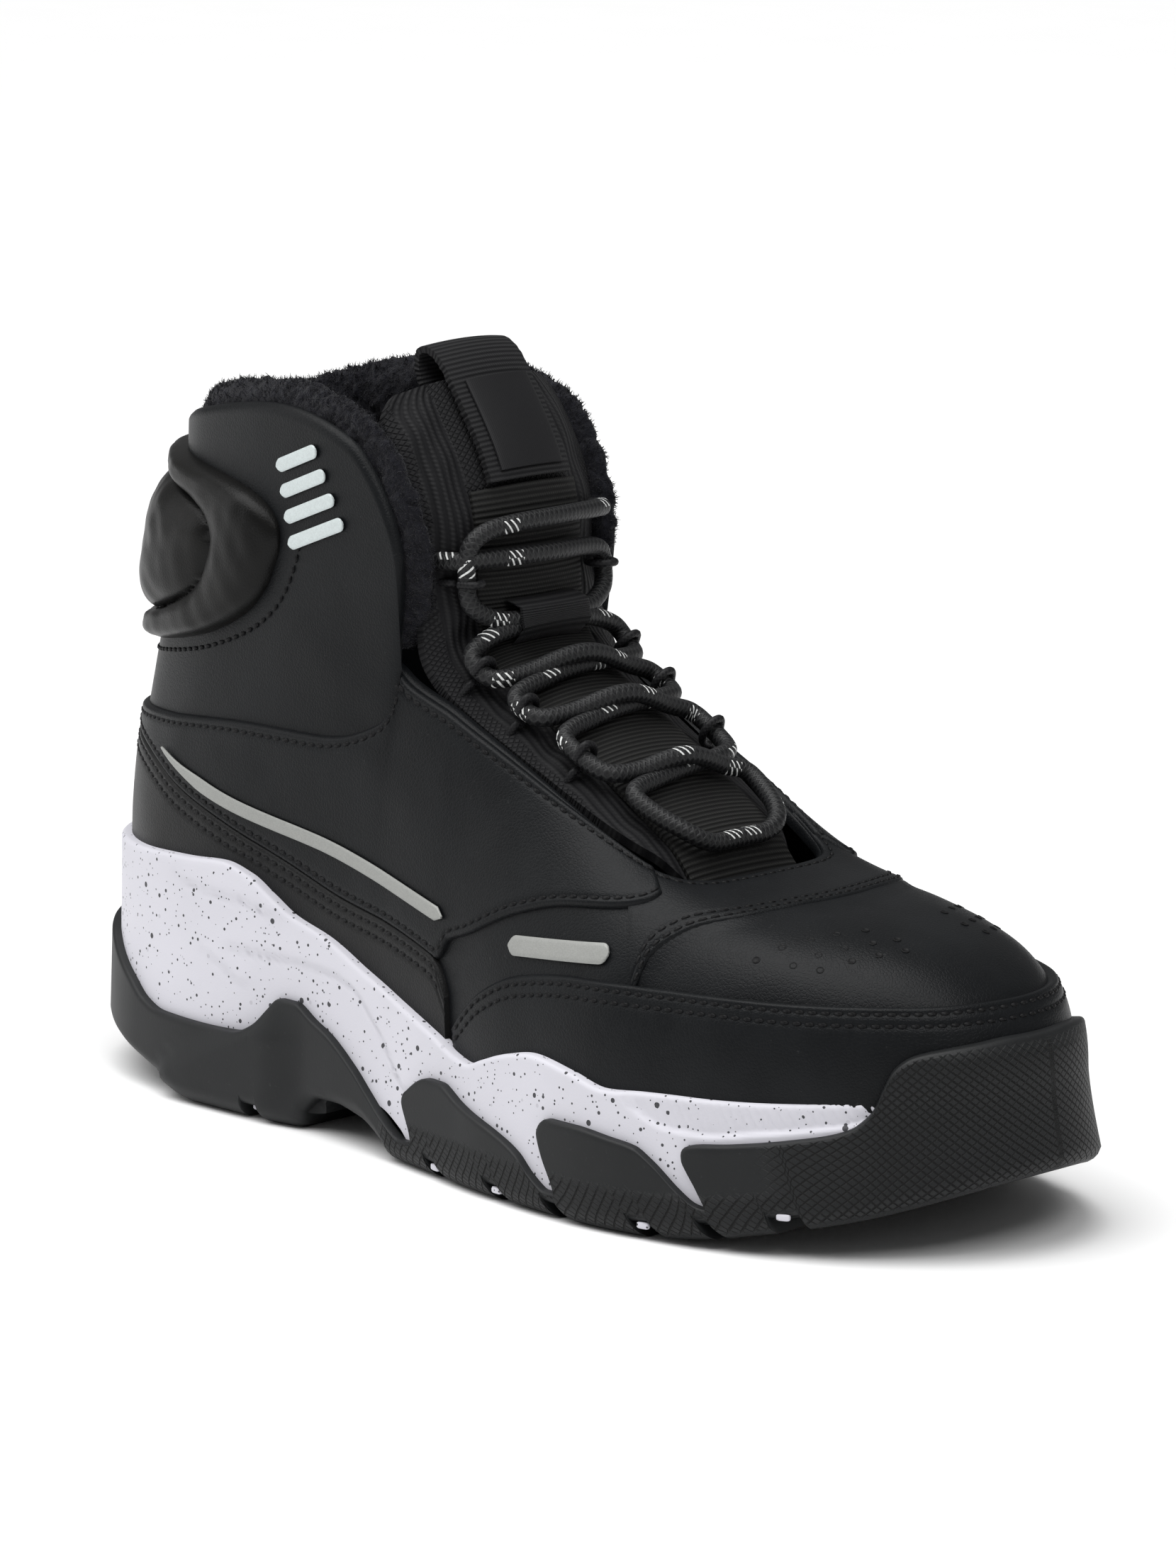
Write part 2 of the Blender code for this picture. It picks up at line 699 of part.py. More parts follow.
def make_outsole(material):
    """The black rubber tray: grooved tread, slanting fins up the side, toe bumper and heel bumper."""
    foot, top = (column(RUBBER_COLUMNS, COLUMN_COLUMNS, name) for name in COLUMN_COLUMNS)
    edges = [edge + side for groove in GROOVES for edge in groove for side in (0.0015, -0.0015)]
    shares = np.array(sorted(set(foot) | set(edges), reverse=True))
    climb = MIDSOLE_HEEL_TOP * np.interp(-shares, -foot, top)
    grooved = np.zeros(len(shares))
    for front, back in GROOVES:
        grooved[(shares < front) & (shares > back)] = GROOVE_DEPTH
    one_side = angle_of(shares)
    mirror = np.arange(len(shares) - 2, 0, -1)
    picks = np.concatenate([np.arange(len(shares)), mirror])
    turn = np.where(np.arange(len(picks)) < len(shares), 1.0, -1.0)

    def loop(z, out):
        leaned = np.clip(shares - column_slant(shares) * z / SOLE_LENGTH, 0, 1)
        station = turn * angle_of(leaned)[picks]
        return side_point(station, z[picks], out)

    x = sole_outline(one_side)[:, 0]
    bottom = underside(x) + grooved
    shoulder = bottom + BOTTOM_BEVEL
    leaned = shares - column_slant(shares) * rubber_floor(x) / SOLE_LENGTH
    floor = rubber_floor(sole_outline(angle_of(np.clip(leaned, 0, 1)))[:, 0])
    rise = np.maximum(climb, floor + 0.7)
    loops = [loop(bottom, FLANK_THICK - BOTTOM_BEVEL), loop(np.minimum(shoulder, rise - 0.6), FLANK_THICK)]
    for k in (0.5, 1.0):
        loops.append(loop(np.minimum(shoulder, rise - 0.6) * (1 - k) + (rise - 0.4) * k, FLANK_THICK))
    loops.append(loop(rise, FLANK_THICK - 0.5))
    for k in (0, 0.33, 0.66, 1.0):
        loops.append(loop(rise * (1 - k) + floor * k, CUP_CLEAR))
    return stack("outsole", loops, material)


def leather_band(name, stations, low, high, material, rows=5):
    """A step of leather over the upper, between two heights at each station."""
    stations = stations[:, None]
    levels = low[:, None] + (high - low)[:, None] * np.linspace(0, 1, rows)
    stations, levels = np.broadcast_arrays(stations, levels)
    ups = up_at_height(stations, levels)
    front = over_upper(stations, ups, np.full(ups.shape, LEATHER_LIFT + OVERLAY_THICK))
    back = over_upper(stations, ups, np.full(ups.shape, LEATHER_LIFT))
    return slab(name, front, back, material)


def above_cup(stations):
    """The lowest height at which leather over the upper clears the midsole's lip."""
    x = sole_outline(stations)[:, 0]
    steps = (-SLOPE_REACH, -SLOPE_REACH / 2, 0, SLOPE_REACH / 2, SLOPE_REACH)
    return np.max([cup_edge_height(x + step) for step in steps], axis=0) + 2 * CLEAR


def make_mudguard(material):
    """The leather band round the toe, from the sole's edge up to a stitched seam."""
    reach = angle_of(0.525)
    stations = upper_stations(-reach, reach)
    low = above_cup(stations)
    seam = curve(BAND_SEAM, SEAM_COLUMNS, sole_outline(stations)[:, 0] / SOLE_LENGTH, COLLAR_HEIGHT)
    return leather_band("toe_mudguard", stations, low, np.maximum(seam, low + 2.0), material)


def make_counter(material):
    """The leather piece round the heel, from the sole's edge up to a falling seam."""
    reach = math.pi - angle_of(0.455)
    stations = upper_stations(math.pi - reach, math.pi + reach)
    low = above_cup(stations)
    seam = curve(COUNTER_SEAM, SEAM_COLUMNS, sole_outline(stations)[:, 0] / SOLE_LENGTH, COLLAR_HEIGHT)
    return leather_band("heel_counter", stations, low, np.maximum(seam, low + 2.0), material, rows=4)


def make_quarter(name, inner, material):
    """The side panel, from the counter's seam up to the collar seam and the throat's edge."""
    stations = upper_stations(angle_of(0.80), math.pi - 0.05)
    stations = 2 * math.pi - stations if inner else stations
    rim = rim_line(stations)
    wide = sole_outline(stations)[:, 0] / SOLE_LENGTH
    over_counter = curve(COUNTER_SEAM, SEAM_COLUMNS, wide, COLLAR_HEIGHT) + SEAM_GAP
    ahead = curve(QUARTER_SEAM, SEAM_COLUMNS, wide, COLLAR_HEIGHT)
    low = np.where(wide > 0.5, ahead, over_counter)
    collar = curve(COLLAR_SEAM, SEAM_COLUMNS, np.minimum(wide, rim[:, 0] / SOLE_LENGTH), COLLAR_HEIGHT)
    throat = rim[:, 2] - RIM_MARGIN
    high = np.where(share_of(stations) > 0.40, throat, np.minimum(collar, throat))
    return leather_band(name, stations, np.minimum(low, high - 2.0), high, material, rows=4)


def make_bolster(material):
    """The padded collar bolster behind the ankle: a ring with a plump pad inside it."""
    across = np.linspace(-1, 1, 17)[:, None]
    levels = np.linspace(-1, 1, 11)[None, :]
    middle, half = (BOLSTER_LOW + BOLSTER_HIGH) / 2, (BOLSTER_HIGH - BOLSTER_LOW) / 2
    narrow = half * np.sqrt(np.clip(1 - np.abs(across) ** 3, 0.08, 1))
    z = middle + levels * narrow + BOLSTER_DROOP * across**2
    stations = np.broadcast_to(math.pi + BOLSTER_REACH * across, z.shape)
    edge = np.clip(1 - np.maximum(np.abs(across), np.abs(levels)) ** 4, 0, 1)
    inside = np.clip(1 - (across / PAD_SHARE) ** 2 - (levels / PAD_SHARE) ** 2, 0, 1)
    swell = OVERLAY_THICK + BOLSTER_SWELL * edge + (ACHILLES_SWELL - BOLSTER_SWELL) * np.sqrt(inside)
    ups = up_at_height(stations, z)
    front = over_upper(stations, ups, 2 * CLEAR + swell)
    back = over_upper(stations, ups, np.full(ups.shape, 2 * CLEAR))
    return slab("collar_bolster", front, back, material)


def cuff_depth(station):
    """How thick the fleece cuff is: full behind the ankle and thin at its two front ends."""
    start = angle_of(0.33)
    folded = np.minimum(station, 2 * math.pi - station)
    back = smooth([0.0, start, angle_of(0.15), math.pi], [0.0, 0.0, 0.6, 1.0], folded)
    return CUFF_FRONT_THICK + (CUFF_THICK - CUFF_FRONT_THICK) * back


def make_cuff(material):
    """The fleece roll inside the collar, standing a little past its rim."""
    start, rings, sides = angle_of(0.33), 37, 8
    stations = np.linspace(start, 2 * math.pi - start, rings)
    rim = rim_line(stations)
    inward = -upper_normal(stations, np.full(rings, 0.97))
    along = unit(np.gradient(rim, axis=0))
    inward = unit(inward - along * (inward * along).sum(1, keepdims=True))
    up = unit(np.cross(inward, along))
    up = up * np.sign((up * (rim - upper_point(stations, np.full(rings, 0.9)))).sum(1, keepdims=True))
    close = np.clip(np.minimum(np.arange(rings), rings - 1 - np.arange(rings)) / 2.0, 0.4, 1)[:, None]
    thick = cuff_depth(stations)[:, None]
    centre = rim + inward * (UPPER_WALL + 3 * CLEAR + thick / 2) + up * (CUFF_RISE - CUFF_HEIGHT / 2) * close
    turn = np.linspace(0, 2 * math.pi, sides, endpoint=False)
    wide = (close * thick / 2 * np.cos(turn))[..., None]
    tall = (close * CUFF_HEIGHT / 2 * np.sin(turn))[..., None]
    ring = centre[:, None] + inward[:, None] * wide + up[:, None] * tall
    return make_object("collar_cuff", ring.reshape(-1, 3), tube_faces(rings, sides), material)


def tongue_spine():
    """The tongue's line up the throat in even steps: run, and x, z, both throat edges and station."""
    folded = np.linspace(angle_of(0.93), angle_of(0.19), 90)
    outer, inner = rim_line(folded), rim_line(2 * math.pi - folded)
    run = np.concatenate([[0], np.cumsum(np.hypot(np.diff(outer[:, 0]), np.diff(outer[:, 2])))])
    even = np.linspace(0, run[-1], 60)
    lean = TONGUE_LEAN * np.clip((outer[:, 2] / COLLAR_HEIGHT - 0.70) / 0.25, 0, 1)
    lines = [outer[:, 0] + lean, outer[:, 2], outer[:, 1], inner[:, 1], folded]
    lines = [np.interp(even, run, line) for line in lines]
    for _ in range(SPINE_PASSES):
        for line in lines:
            line[1:-1] = (line[:-2] + 2 * line[1:-1] + line[2:]) / 4
    return even, lines



def tongue_point(s, side, out=0.0):
    """The tongue's front surface, s along from its front end and side from -1 (outer) to 1, moved out."""
    s, side, out = np.broadcast_arrays(*(np.asarray(a, float) for a in (s, side, out)))
    run, (x, z, outer, inner, folded) = SPINE
    inside = np.clip(s, 0, run[-1])
    beyond = s - inside
    tangent_x, tangent_z = np.gradient(x, run), np.gradient(z, run)
    tx, tz = np.interp(inside, run, tangent_x), np.interp(inside, run, tangent_z)
    length = np.hypot(tx, tz)
    tx, tz = tx / length, tz / length
    gap = UPPER_WALL + 2 * CLEAR
    knots = [0.0, angle_of(0.42), angle_of(0.30), math.pi]
    cuffed = smooth(knots, [0.0, 0.0, 1.0, 1.0], np.interp(inside, run, folded))
    gap_side = gap + cuffed * (CUFF_FRONT_THICK + 4 * CLEAR)
    low, high = np.interp(inside, run, outer) + gap_side, np.interp(inside, run, inner) - gap_side
    dip = (gap + 1.6) * smooth([-1e3, -2.0, 14.0, 1e3], [1.0, 1.0, 0.0, 0.0], s) + 1.0
    bulge = smooth([0, 0.08, 0.5, 1.0], [0.0, 0.25, 0.85, 1.0], inside / run[-1])
    arch = TONGUE_ARCH * bulge * (1 - side**2)
    off = arch - dip + out
    y = (low + high) / 2 + side * (high - low) / 2
    px = np.interp(inside, run, x) + tx * beyond + tz * off
    pz = np.interp(inside, run, z) + tz * beyond - tx * off
    return np.stack([px, y, pz], -1)


SPINE = tongue_spine()


def tongue_half(s):
    """Half of the tongue's width at a place along it."""
    return (tongue_point(s, 1.0)[..., 1] - tongue_point(s, -1.0)[..., 1]) / 2


def make_tongue(material):
    """The padded tongue, from under the front of the throat to past the collar."""
    top = SPINE[0][-1] + TONGUE_TOP_EXTRA
    s = np.linspace(-TONGUE_FOOT_EXTRA, top, 27)[:, None]
    side = np.linspace(-1, 1, 9)[None, :]
    corner = np.clip((s - (top - 9.0)) / 9.0, 0, 1)
    narrow = 1 - 0.16 * corner**2.5
    front = tongue_point(s, side * narrow)
    edge = np.clip(1 - np.abs(side) ** 6, 0.0, 1) * np.clip((top + 1.5 - s) / 5.0, 0.3, 1)
    back = tongue_point(s, side * narrow, -TONGUE_THICK * (0.45 + 0.55 * edge))
    return slab("tongue", front, back, material)


def over_tongue(name, s_range, width, lift, thick, material, rows, cols=5):
    """A flat piece of webbing on the tongue's front."""
    s = np.linspace(*s_range, rows)[:, None]
    across = np.linspace(-width / 2, width / 2, cols)[None, :] / tongue_half(s)
    front = tongue_point(s, across, lift + thick)
    back = tongue_point(s, across, np.full(front.shape[:2], lift))
    return slab(name, front, back, material)


def make_tape(material):
    """The ribbed webbing up the middle of the tongue."""
    reach = (2.0, loop_foot() - 1.0)
    return over_tongue("tongue_tape", reach, TAPE_WIDTH, WEB_LIFT, TAPE_THICK, material, 20)


def loop_foot():
    """Where along the tongue the pull loop's front leg starts."""
    return SPINE[0][-1] + TONGUE_TOP_EXTRA - LABEL_HEIGHT - 5.0


def make_keeper(material):
    """The band across the tongue that the lace runs through."""
    middle = LACE_ROWS[-1][0]
    along = np.array([-1.0, -0.86, -0.72, 0.0, 0.72, 0.86, 1.0])[:, None]
    s = middle + along * KEEPER_LENGTH / 2
    side = np.linspace(-1, 1, 5)[None, :]
    lift = WEB_LIFT + TAPE_THICK + CLEAR
    bridge = LACE_DIAMETER + 2 * CLEAR + 0.3
    rise = bridge * np.clip((1 - np.abs(along)) / 0.28, 0, 1) + 0 * side
    across = side * (KEEPER_WIDTH / 2) / tongue_half(s)
    front = tongue_point(s, across, lift + rise + TAPE_THICK)
    back = tongue_point(s, across, lift + rise)
    return slab("tongue_keeper", front, back, material)


def make_pull_loop(material):
    """The webbing loop over the tongue's top: up its front, over, and down behind it."""
    top = SPINE[0][-1] + TONGUE_TOP_EXTRA
    lift = WEB_LIFT + TAPE_THICK + CLEAR
    behind = -(TONGUE_THICK + WEB_LIFT)
    over = np.linspace(0, math.pi, 7)
    centre, radius = (lift + behind) / 2, (lift - behind) / 2
    arc = top + LOOP_RISE * np.sin(over) + 0.5
    s = np.concatenate([np.linspace(loop_foot(), top - 1, 6), arc, [top - 6, top - 12]])
    off = np.concatenate([np.full(6, lift), centre + radius * np.cos(over), [behind, behind]])
    thick_s = np.concatenate([np.zeros(6), LOOP_THICK * np.sin(over), [0, 0]])
    thick_off = [np.full(6, LOOP_THICK), LOOP_THICK * np.cos(over), [-LOOP_THICK, -LOOP_THICK]]
    thick_off = np.concatenate(thick_off)
    across = np.linspace(-1, 1, 5)[None, :] * LOOP_WIDTH / 2 / tongue_half(np.minimum(s, top))[:, None]
    inner = tongue_point(s[:, None], across, off[:, None])
    outer = tongue_point((s + thick_s)[:, None], across, (off + thick_off)[:, None])
    return slab("pull_loop", outer, inner, material)


def make_label(material):
    """The bare satin patch on the pull loop's front."""
    lift = WEB_LIFT + TAPE_THICK + CLEAR + LOOP_THICK + CLEAR
    start = loop_foot() + 2.0
    reach = (start, start + LABEL_HEIGHT)
    return over_tongue("tongue_label", reach, LABEL_WIDTH, lift, LABEL_THICK, material, 5)


def lace_lift():
    """How far the lace's middle stands off the tongue."""
    return WEB_LIFT + TAPE_THICK + 2 * CLEAR + LACE_DIAMETER / 2


def lace_point(s, side):
    """The lace's middle line over the tongue, from the outer (-1) to the inner (1) edge of the throat."""
    s, side = np.asarray(s, float), np.asarray(side, float)
    reach = 1 - LACE_INSET / tongue_half(s)
    lift = lace_lift() + LACE_SIDE_LIFT * np.clip((np.abs(side) - 0.55) / 0.35, 0, 1)
    return tongue_point(s, side * reach, lift)


def lace_strand(first_side):
    """One half of the lacing: across at each row, and along the throat's edge to the next row."""
    knots = [(LACE_BASE_ROW, 0.0), (LACE_BASE_ROW, first_side)]
    side = first_side
    for middle, spread, pinch in LACE_ROWS:
        knots += [(middle - spread, side), (middle - pinch, 0.58 * side), (middle + pinch, -0.58 * side)]
        knots += [(middle + spread, -side)]
        side = -side
    knots += [(LACE_TOP_ROWS[0 if side > 0 else 1], side), (LACE_TOP_ROWS[0 if side > 0 else 1], -side)]
    knots = np.array(knots)
    points = []
    for (s0, a0), (s1, a1) in zip(knots[:-1], knots[1:]):
        steps = 5 if abs(a1 - a0) > 0.7 else 3
        t = np.linspace(0, 1, steps, endpoint=False)[:, None]
        points.append(np.hstack([s0 + (s1 - s0) * t, a0 + (a1 - a0) * t]))
    points = np.vstack(points + [knots[-1:]])
    for _ in range(2):
        points[1:-1] = (points[:-2] + 2 * points[1:-1] + points[2:]) / 4
    return lace_point(points[:, 0], points[:, 1])


def make_lace(material):
    """The lacing as one solid: two crossing strands, joined where they cross."""
    sides, upright = 6, (1.0, 0.0, 1.0)
    first = make_object("lace", *tube(lace_strand(1.0), LACE_DIAMETER / 2, sides, upright), material)
    radius = LACE_DIAMETER / 2 - 0.02
    helper = make_object("lace_union", *tube(lace_strand(-1.0), radius, sides, upright), material)
    unite(first, [helper])


def make_lace_loops(material):
    """The cord loops at the throat's edge, each round the lace."""
    radius = LACE_DIAMETER / 2 + 2 * CLEAR + LOOP_CORD / 2
    turn = np.radians(np.linspace(-105, 105, 7))[:, None]
    middles = column(LACE_ROWS, LACE_COLUMNS, "middle")
    rows = list((middles[:-1] + middles[1:]) / 2 - (0, 0, LACE_DIAMETER))
    rows.append((middles[-1] + LACE_ROWS[-1][1] + LACE_TOP_ROWS[0]) / 2)
    for label, side in (("outer", -1.0), ("inner", 1.0)):
        for number, row in enumerate(rows, 1):
            centre = lace_point(row, side)
            away = unit(tongue_point(row, side, 5.0) - tongue_point(row, side, 0.0))
            inward = np.array([0.0, -side, 0.0])
            path = centre + radius * (np.cos(turn) * inward + np.sin(turn) * away)
            ahead = unit(tongue_point(row + 1.0, side) - tongue_point(row - 1.0, side))
            make_object(f"lace_loop_{label}_{number}", *tube(path, LOOP_CORD / 2, 5, ahead), material)


def trim(name, line, width, inner, lift, material, pointed=False):
    """A strip of reflective film along a line seen from the side, with round ends."""
    line = np.asarray(line, float)
    run = np.concatenate([[0], np.cumsum(np.hypot(*np.diff(line, axis=0).T))])
    half = width / 2
    ends = half * (1 - np.cos(np.linspace(0, math.pi / 2, 3)))
    between = np.linspace(half, run[-1] - half, 3 + int(run[-1] / 14))[1:-1]
    at = np.concatenate([ends, between, run[-1] - ends[::-1]])
    x, z = np.interp(at, run, line[:, 0]), np.interp(at, run, line[:, 1])
    reach = np.minimum(at, run[-1] - at)
    wide = half * np.sqrt(np.clip(1 - (1 - np.clip(reach / half, 0, 1)) ** 2, 0.04, 1))
    if pointed:
        wide = np.minimum(wide, half * np.clip(0.2 + at / 22.0, 0, 1))
    along = unit(np.stack([np.gradient(x), np.gradient(z)], -1))
    across = np.linspace(-1, 1, 3)[None, :] * wide[:, None]
    places = on_upper(x[:, None] - along[:, 1:] * across, z[:, None] + along[:, :1] * across, inner)
    stations, ups = places[..., 0], places[..., 1]
    front = over_upper(stations, ups, np.full(ups.shape, lift + TRIM_THICK))
    back = over_upper(stations, ups, np.full(ups.shape, lift))
    return slab(name, front, back, material)


def make_trims(bright, grey):
    """The reflective trim on both sides: the collar's bars, the long strip and the forefoot bar."""
    sizes = np.array([SOLE_LENGTH, COLLAR_HEIGHT])
    on_quarter = LEATHER_LIFT + OVERLAY_THICK + 1.5 * CLEAR
    tilt = math.radians(COLLAR_BAR_TILT)
    ahead, over = np.array([math.cos(tilt), math.sin(tilt)]), np.array([-math.sin(tilt), math.cos(tilt)])
    for label, inner in (("outer", False), ("inner", True)):
        strip, bar = np.array(SIDE_STRIP) * sizes, np.array(FOREFOOT_BAR) * sizes
        trim(f"side_strip_{label}", strip, SIDE_STRIP_WIDTH, inner, on_quarter, grey, True)
        trim(f"forefoot_bar_{label}", bar, FOREFOOT_BAR_WIDTH, inner, 2 * CLEAR, grey)
        for number in range(COLLAR_BAR_COUNT):
            middle = np.array(COLLAR_BAR_LOW) * sizes + over * COLLAR_BAR_PITCH * number
            reach = ahead * (COLLAR_BAR_LENGTH - COLLAR_BAR_STEP * number) / 2
            line = [middle - reach, middle + reach]
            trim(f"collar_bar_{label}_{number + 1}", line, COLLAR_BAR_WIDTH, inner, 2 * CLEAR, bright)


def stand_on_origin():
    """Moves every piece together, so that the origin lies under the middle of the whole shoe."""
    pieces = [thing for thing in bpy.data.objects if thing.type == "MESH"]
    points = np.vstack([np.array([tuple(v.co) for v in piece.data.vertices]) for piece in pieces])
    low, high = points.min(0), points.max(0)
    shift = np.array([(low[0] + high[0]) / 2, (low[1] + high[1]) / 2, low[2]])
    for piece in pieces:
        for vertex in piece.data.vertices:
            vertex.co = np.array(vertex.co) - shift


def clear_scene():
    """Removes every object, so that the script starts from nothing."""
    for thing in list(bpy.data.objects):
        bpy.data.objects.remove(thing, do_unlink=True)


def main():
    """Builds the shoe."""
    clear_scene()
    leather = finish("black_leather", (0.022, 0.023, 0.025), 0.42)
    stretch = finish("black_stretch", (0.018, 0.018, 0.019), 0.50)
    fleece = finish("black_fleece", (0.010, 0.010, 0.013), 0.92)
    mesh = finish("black_mesh", (0.014, 0.014, 0.016), 0.80)
    webbing = finish("black_webbing", (0.016, 0.016, 0.018), 0.70)
    satin = finish("black_satin", (0.020, 0.020, 0.022), 0.35)
    rubber = finish("charcoal_rubber", (0.026, 0.028, 0.029), 0.62)
    foam = finish("white_foam", (0.745, 0.735, 0.825), 0.55)
    sock = finish("dark_sock", (0.012, 0.012, 0.014), 0.90)
    rope = finish("black_rope", (0.012, 0.012, 0.013), 0.45)
    silver = finish("silver_film", (0.610, 0.680, 0.685), 0.35)
    grey = finish("grey_film", (0.305, 0.305, 0.285), 0.40)
    make_upper(leather)
    make_midsole(foam)
    make_outsole(rubber)
    make_insole(sock)
    make_tongue(mesh)
    make_mudguard(leather)
    make_counter(leather)
    make_quarter("quarter_outer", False, leather)
    make_quarter("quarter_inner", True, leather)
    make_bolster(stretch)
    make_cuff(fleece)
    make_tape(webbing)
    make_keeper(webbing)
    make_pull_loop(webbing)
    make_label(satin)
    make_lace(rope)
    make_lace_loops(rope)
    make_trims(silver, grey)
    stand_on_origin()


main()
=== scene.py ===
"""Dresses a right high-top sneaker: leather upper, padded collar, mesh tongue, rope lacing, foam and rubber sole.

The last's own formulas are worked out again here in millimetres, in the shoe's frame (x from the heel to the toe,
+y the inner side), and every piece is made as a surface of two parameters over it.
"""

from __future__ import annotations

import json
import logging
import math
from dataclasses import dataclass, field
from enum import Enum
from typing import Callable

import bmesh
import bpy
import numpy as np
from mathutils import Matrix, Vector

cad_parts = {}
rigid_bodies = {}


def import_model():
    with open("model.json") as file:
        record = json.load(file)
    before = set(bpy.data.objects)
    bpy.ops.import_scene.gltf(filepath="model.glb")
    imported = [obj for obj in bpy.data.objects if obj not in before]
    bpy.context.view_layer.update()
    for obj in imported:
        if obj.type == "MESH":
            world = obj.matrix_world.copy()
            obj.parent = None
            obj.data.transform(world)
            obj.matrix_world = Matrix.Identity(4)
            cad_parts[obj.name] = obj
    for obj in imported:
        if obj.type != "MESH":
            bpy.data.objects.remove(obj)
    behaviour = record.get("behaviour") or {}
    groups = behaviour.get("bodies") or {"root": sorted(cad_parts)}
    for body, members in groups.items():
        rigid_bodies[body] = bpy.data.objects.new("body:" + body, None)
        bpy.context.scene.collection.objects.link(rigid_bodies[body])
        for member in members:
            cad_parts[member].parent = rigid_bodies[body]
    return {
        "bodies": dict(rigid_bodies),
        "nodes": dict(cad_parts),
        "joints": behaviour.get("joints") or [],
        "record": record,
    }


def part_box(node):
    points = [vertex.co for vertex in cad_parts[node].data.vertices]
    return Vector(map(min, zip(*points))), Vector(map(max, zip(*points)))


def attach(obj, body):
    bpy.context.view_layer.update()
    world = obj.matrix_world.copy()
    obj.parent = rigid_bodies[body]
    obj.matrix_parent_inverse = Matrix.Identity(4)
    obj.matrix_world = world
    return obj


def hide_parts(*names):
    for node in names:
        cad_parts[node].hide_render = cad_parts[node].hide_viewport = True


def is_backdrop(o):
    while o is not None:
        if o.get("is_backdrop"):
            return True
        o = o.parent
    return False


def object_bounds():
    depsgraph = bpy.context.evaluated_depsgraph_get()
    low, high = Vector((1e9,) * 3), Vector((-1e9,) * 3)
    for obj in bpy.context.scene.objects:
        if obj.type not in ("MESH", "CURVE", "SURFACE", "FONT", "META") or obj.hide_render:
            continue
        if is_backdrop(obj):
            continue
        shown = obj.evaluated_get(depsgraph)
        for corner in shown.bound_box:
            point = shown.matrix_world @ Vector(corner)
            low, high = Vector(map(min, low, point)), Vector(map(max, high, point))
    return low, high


LOG = logging.getLogger("sneaker")
MM = 0.001
Array = np.ndarray


class Side(Enum):
    """The two sides of the shoe, by the sign of y."""

    OUTER = -1.0
    INNER = 1.0

    @property
    def label(self) -> str:
        """The side's name in the model."""
        return self.name.lower()


def smooth(knots: Array, values: Array, at: Array) -> Array:
    """A smooth curve with no overshoot through values at rising knots.

    Each piece is a cubic whose end slopes are the harmonic means of the neighbouring slopes, or nothing at a peak.

    Args:
        knots: Rising places.
        values: The value at each knot.
        at: Where the curve is read.

    Returns:
        The curve's values.
    """
    knots, values, at = (np.asarray(a, float) for a in (knots, values, at))
    step = np.diff(knots)
    slope = np.diff(values) / step
    tangent = np.empty_like(values)
    tangent[0], tangent[-1] = slope[0], slope[-1]
    before, after = 2 * step[1:] + step[:-1], step[1:] + 2 * step[:-1]
    same_way = slope[:-1] * slope[1:] > 0
    with np.errstate(divide="ignore", invalid="ignore"):
        mean = (before + after) / (before / slope[:-1] + after / slope[1:])
    tangent[1:-1] = np.where(same_way, mean, 0.0)
    i = np.clip(np.searchsorted(knots, at, side="right") - 1, 0, len(step) - 1)
    t = (at - knots[i]) / step[i]
    start = values[i] * (1 + 2 * t) * (1 - t) ** 2 + tangent[i] * step[i] * t * (1 - t) ** 2
    end = values[i + 1] * t * t * (3 - 2 * t) + tangent[i + 1] * step[i] * t * t * (t - 1)
    return start + end


def table_curve(rows: tuple[tuple[float, float], ...], at: Array) -> Array:
    """A table's second column as a smooth curve over its first."""
    knots, values = np.array(rows, float).T
    return smooth(knots, values, at)


def ramp(low: float, high: float, at: Array) -> Array:
    """Rises from 0 at low to 1 at high, with level ends (3 t squared less 2 t cubed)."""
    t = np.clip((np.asarray(at, float) - low) / (high - low), 0, 1)
    return t * t * (3 - 2 * t)


def unit(vectors: Array) -> Array:
    """The vectors at length one."""
    return vectors / (np.linalg.norm(vectors, axis=-1, keepdims=True) + 1e-12)


def ripple(points: Array, size: float, seed: int) -> Array:
    """Soft uneven waves over points: a sum of twelve sine waves in fixed scattered directions.

    Args:
        points: Places in millimetres.
        size: The rough distance between two waves, in millimetres.
        seed: Picks the directions and phases.

    Returns:
        A value from about -1 to 1 at each point.
    """
    draw = np.random.default_rng(seed)
    ways = unit(draw.normal(size=(12, 3))) * (2 * math.pi / size) * draw.uniform(0.6, 1.7, (12, 1))
    phases = draw.uniform(0, 2 * math.pi, 12)
    return np.sin(points @ ways.T + phases).sum(-1) / 5.0


def run_of(path: Array) -> Array:
    """The distance along a path at each of its points."""
    return np.concatenate([[0.0], np.cumsum(np.linalg.norm(np.diff(path, axis=0), axis=1))])


def resample(path: Array, step: float) -> Array:
    """A path with points an even step apart, ends kept."""
    run = run_of(path)
    even = np.linspace(0, run[-1], max(2, int(round(run[-1] / step)) + 1))
    return np.stack([np.interp(even, run, path[:, k]) for k in range(path.shape[1])], -1)


def relax(path: Array, passes: int) -> Array:
    """A path with its corners rounded off: each pass moves a point towards its two neighbours."""
    path = path.copy()
    for _ in range(passes):
        path[1:-1] = (path[:-2] + 2 * path[1:-1] + path[2:]) / 4
    return path


